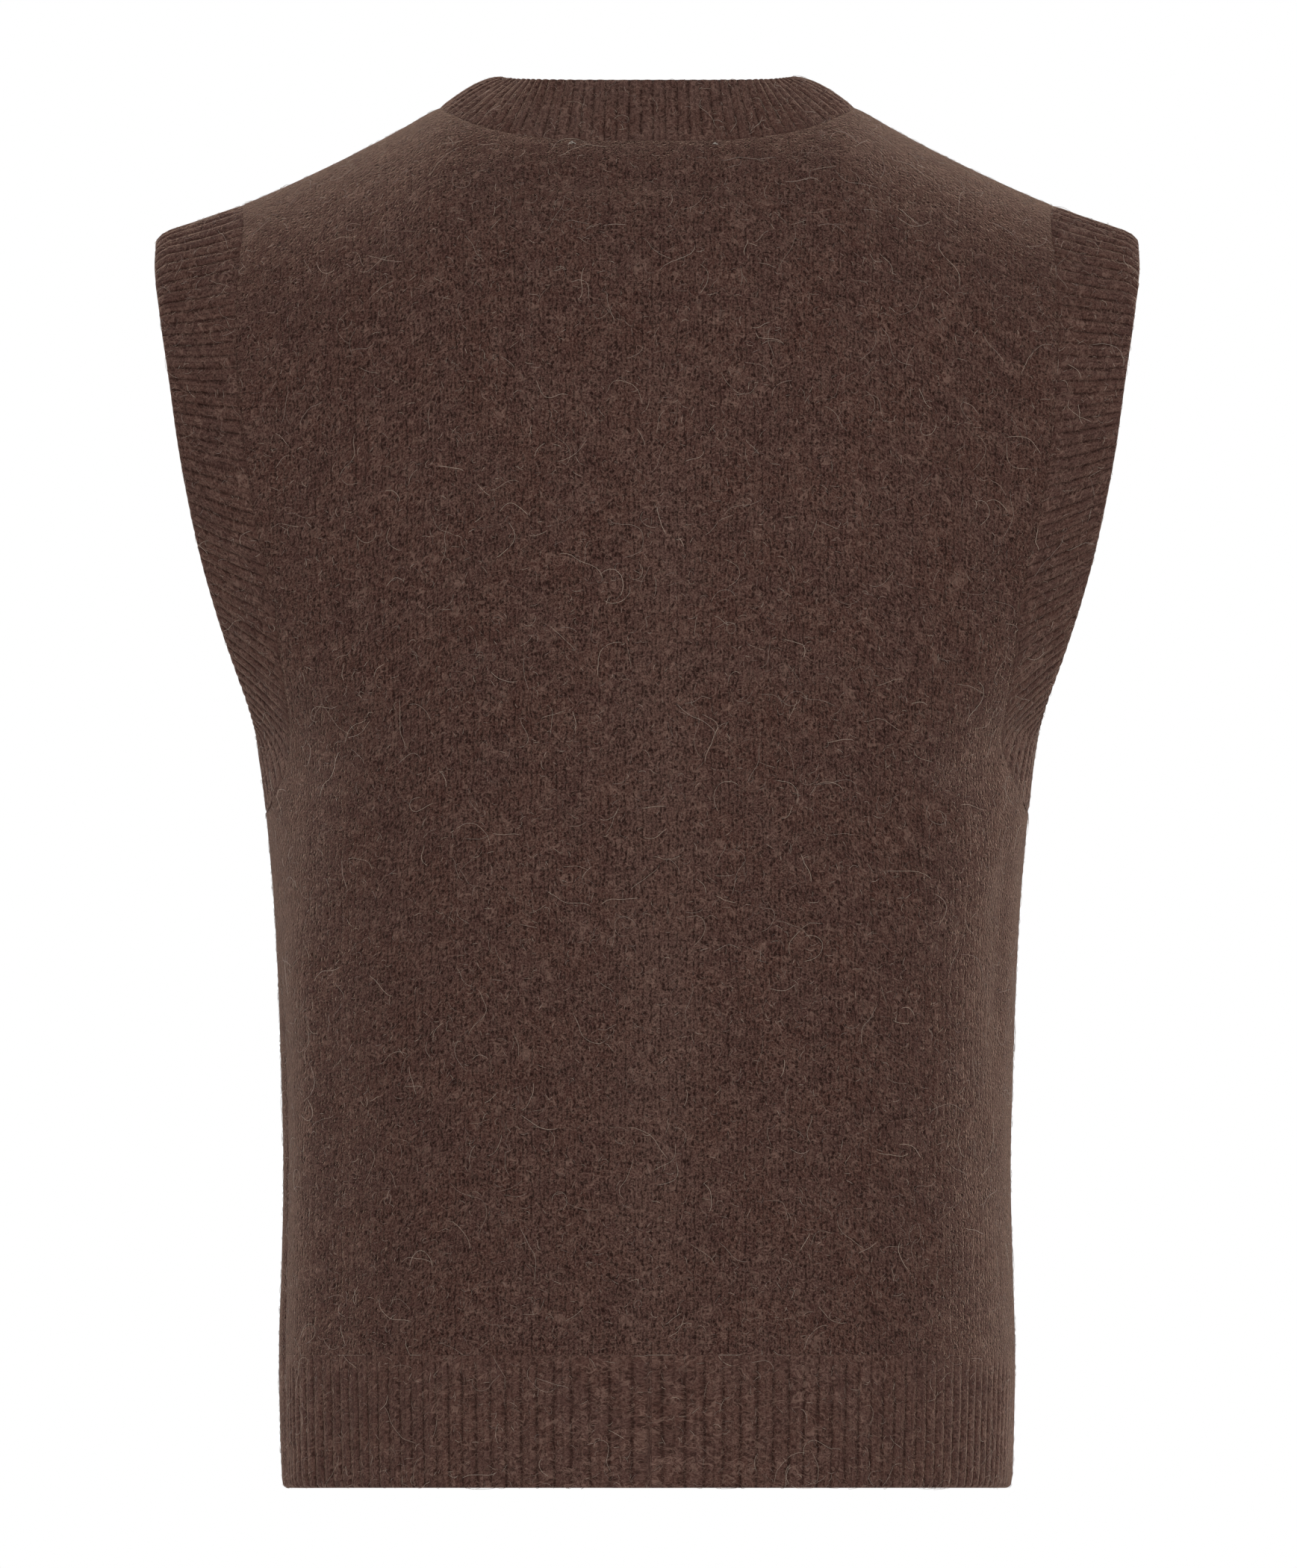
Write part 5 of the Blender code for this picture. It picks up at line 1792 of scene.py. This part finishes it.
class CARDIGAN_OT_studio(bpy.types.Operator):
    """Set the pale floor, the soft white light and the camera on the shown side"""

    bl_idname = "cardigan.studio"
    bl_label = "Set Studio"

    def execute(self, context):
        settings = context.scene.cardigan
        studio = settings.studio
        deselect_all()
        bpy.ops.mesh.primitive_circle_add(
            vertices=FLOOR_SIDES, radius=FLOOR_RADIUS, fill_type="NGON",
            location=(0, 0, -studio.floor_drop))
        floor = context.object
        floor.name = "studio_floor"
        material, tree, shader = new_material("matt_white_floor")
        grain = add_node(tree, "ShaderNodeTexNoise", None, {"Scale": 3.0, "Detail": 2.0})
        tree.links.new(add_node(tree, "ShaderNodeMapRange", None, {
            "Value": grain, "To Min": 0.85, "To Max": 0.95}), shader.inputs["Roughness"])
        set_inputs(shader, Base_Color=(*settings.colours.floor, 1.0), Specular_IOR_Level=0.1)
        floor.data.materials.append(material)
        self.light_room(context, studio)
        self.place_camera(context, studio)
        return {"FINISHED"}

    def light_room(self, context, studio):
        """A white room that the camera sees as pure white, and large soft lamps."""
        world = bpy.data.worlds.new("white_room")
        context.scene.world = world
        world.use_nodes = True
        tree = world.node_tree
        sky = tree.nodes["Background"]
        sky.inputs["Color"].default_value = (1.0, 1.0, 1.0, 1.0)
        seen = add_node(tree, "ShaderNodeLightPath", output="Is Camera Ray")
        tree.links.new(add_node(tree, "ShaderNodeMapRange", None, {
            "Value": seen, "To Min": studio.ambient, "To Max": 1.0}), sky.inputs["Strength"])
        centre = Vector((0, 0, studio.view_centre))
        for name, place, size, share in LAMPS:
            lamp = bpy.data.lights.new(name, "AREA")
            lamp.shape = "DISK"
            lamp.size = size
            lamp.energy = studio.key * share
            lamp = new_object(name, lamp)
            lamp.location = place
            lamp.rotation_euler = (centre - Vector(place)).to_track_quat("-Z", "Y").to_euler()
        context.scene.view_settings.view_transform = "Standard"

    def place_camera(self, context, studio):
        camera = bpy.data.cameras.new("camera")
        camera.type = "ORTHO"
        camera.ortho_scale = studio.view_height
        camera.clip_end = 100.0
        piece = new_object("camera", camera)
        piece.location = (CAMERA_X, CAMERA_Y, studio.view_centre)
        piece.rotation_euler = (math.pi / 2, 0, math.pi)
        context.scene.camera = piece


OPERATORS = (
    CARDIGAN_OT_back,
    CARDIGAN_OT_fronts,
    CARDIGAN_OT_hem_ribs,
    CARDIGAN_OT_armhole_bands,
    CARDIGAN_OT_neck_band,
    CARDIGAN_OT_front_bands,
    CARDIGAN_OT_buttonholes,
    CARDIGAN_OT_buttons,
    CARDIGAN_OT_tacks,
    CARDIGAN_OT_nap,
    CARDIGAN_OT_studio,
)


class CARDIGAN_PT_sidebar(bpy.types.Panel):
    """Lists the cardigan's settings and the steps that make it"""

    bl_label = "Knitted Cardigan"
    bl_idname = "CARDIGAN_PT_sidebar"
    bl_space_type = "VIEW_3D"
    bl_region_type = "UI"
    bl_category = "Cardigan"

    def draw(self, context):
        settings = context.scene.cardigan
        for operator in OPERATORS:
            self.layout.operator(operator.bl_idname)
        for group in (settings.knit, settings.nap, settings.button, settings.colours,
                      settings.studio):
            box = self.layout.box()
            for name in group.bl_rna.properties.keys():
                if name not in ("rna_type", "name"):
                    box.prop(group, name)


CLASSES = (
    KnitSettings,
    NapSettings,
    ButtonSettings,
    ColourSettings,
    StudioSettings,
    CardiganSettings,
    *OPERATORS,
    CARDIGAN_PT_sidebar,
)


def register():
    for cls in CLASSES:
        bpy.utils.register_class(cls)
    bpy.types.Scene.cardigan = PointerProperty(type=CardiganSettings)


def unregister():
    del bpy.types.Scene.cardigan
    for cls in reversed(CLASSES):
        bpy.utils.unregister_class(cls)


def main():
    register()
    bpy.ops.cardigan.back()
    bpy.ops.cardigan.fronts()
    bpy.ops.cardigan.hem_ribs()
    bpy.ops.cardigan.armhole_bands()
    bpy.ops.cardigan.neck_band()
    bpy.ops.cardigan.front_bands()
    bpy.ops.cardigan.buttonholes()
    bpy.ops.cardigan.buttons()
    bpy.ops.cardigan.tacks()
    bpy.ops.cardigan.nap()
    bpy.ops.cardigan.studio()


if __name__ == "__main__":
    main()
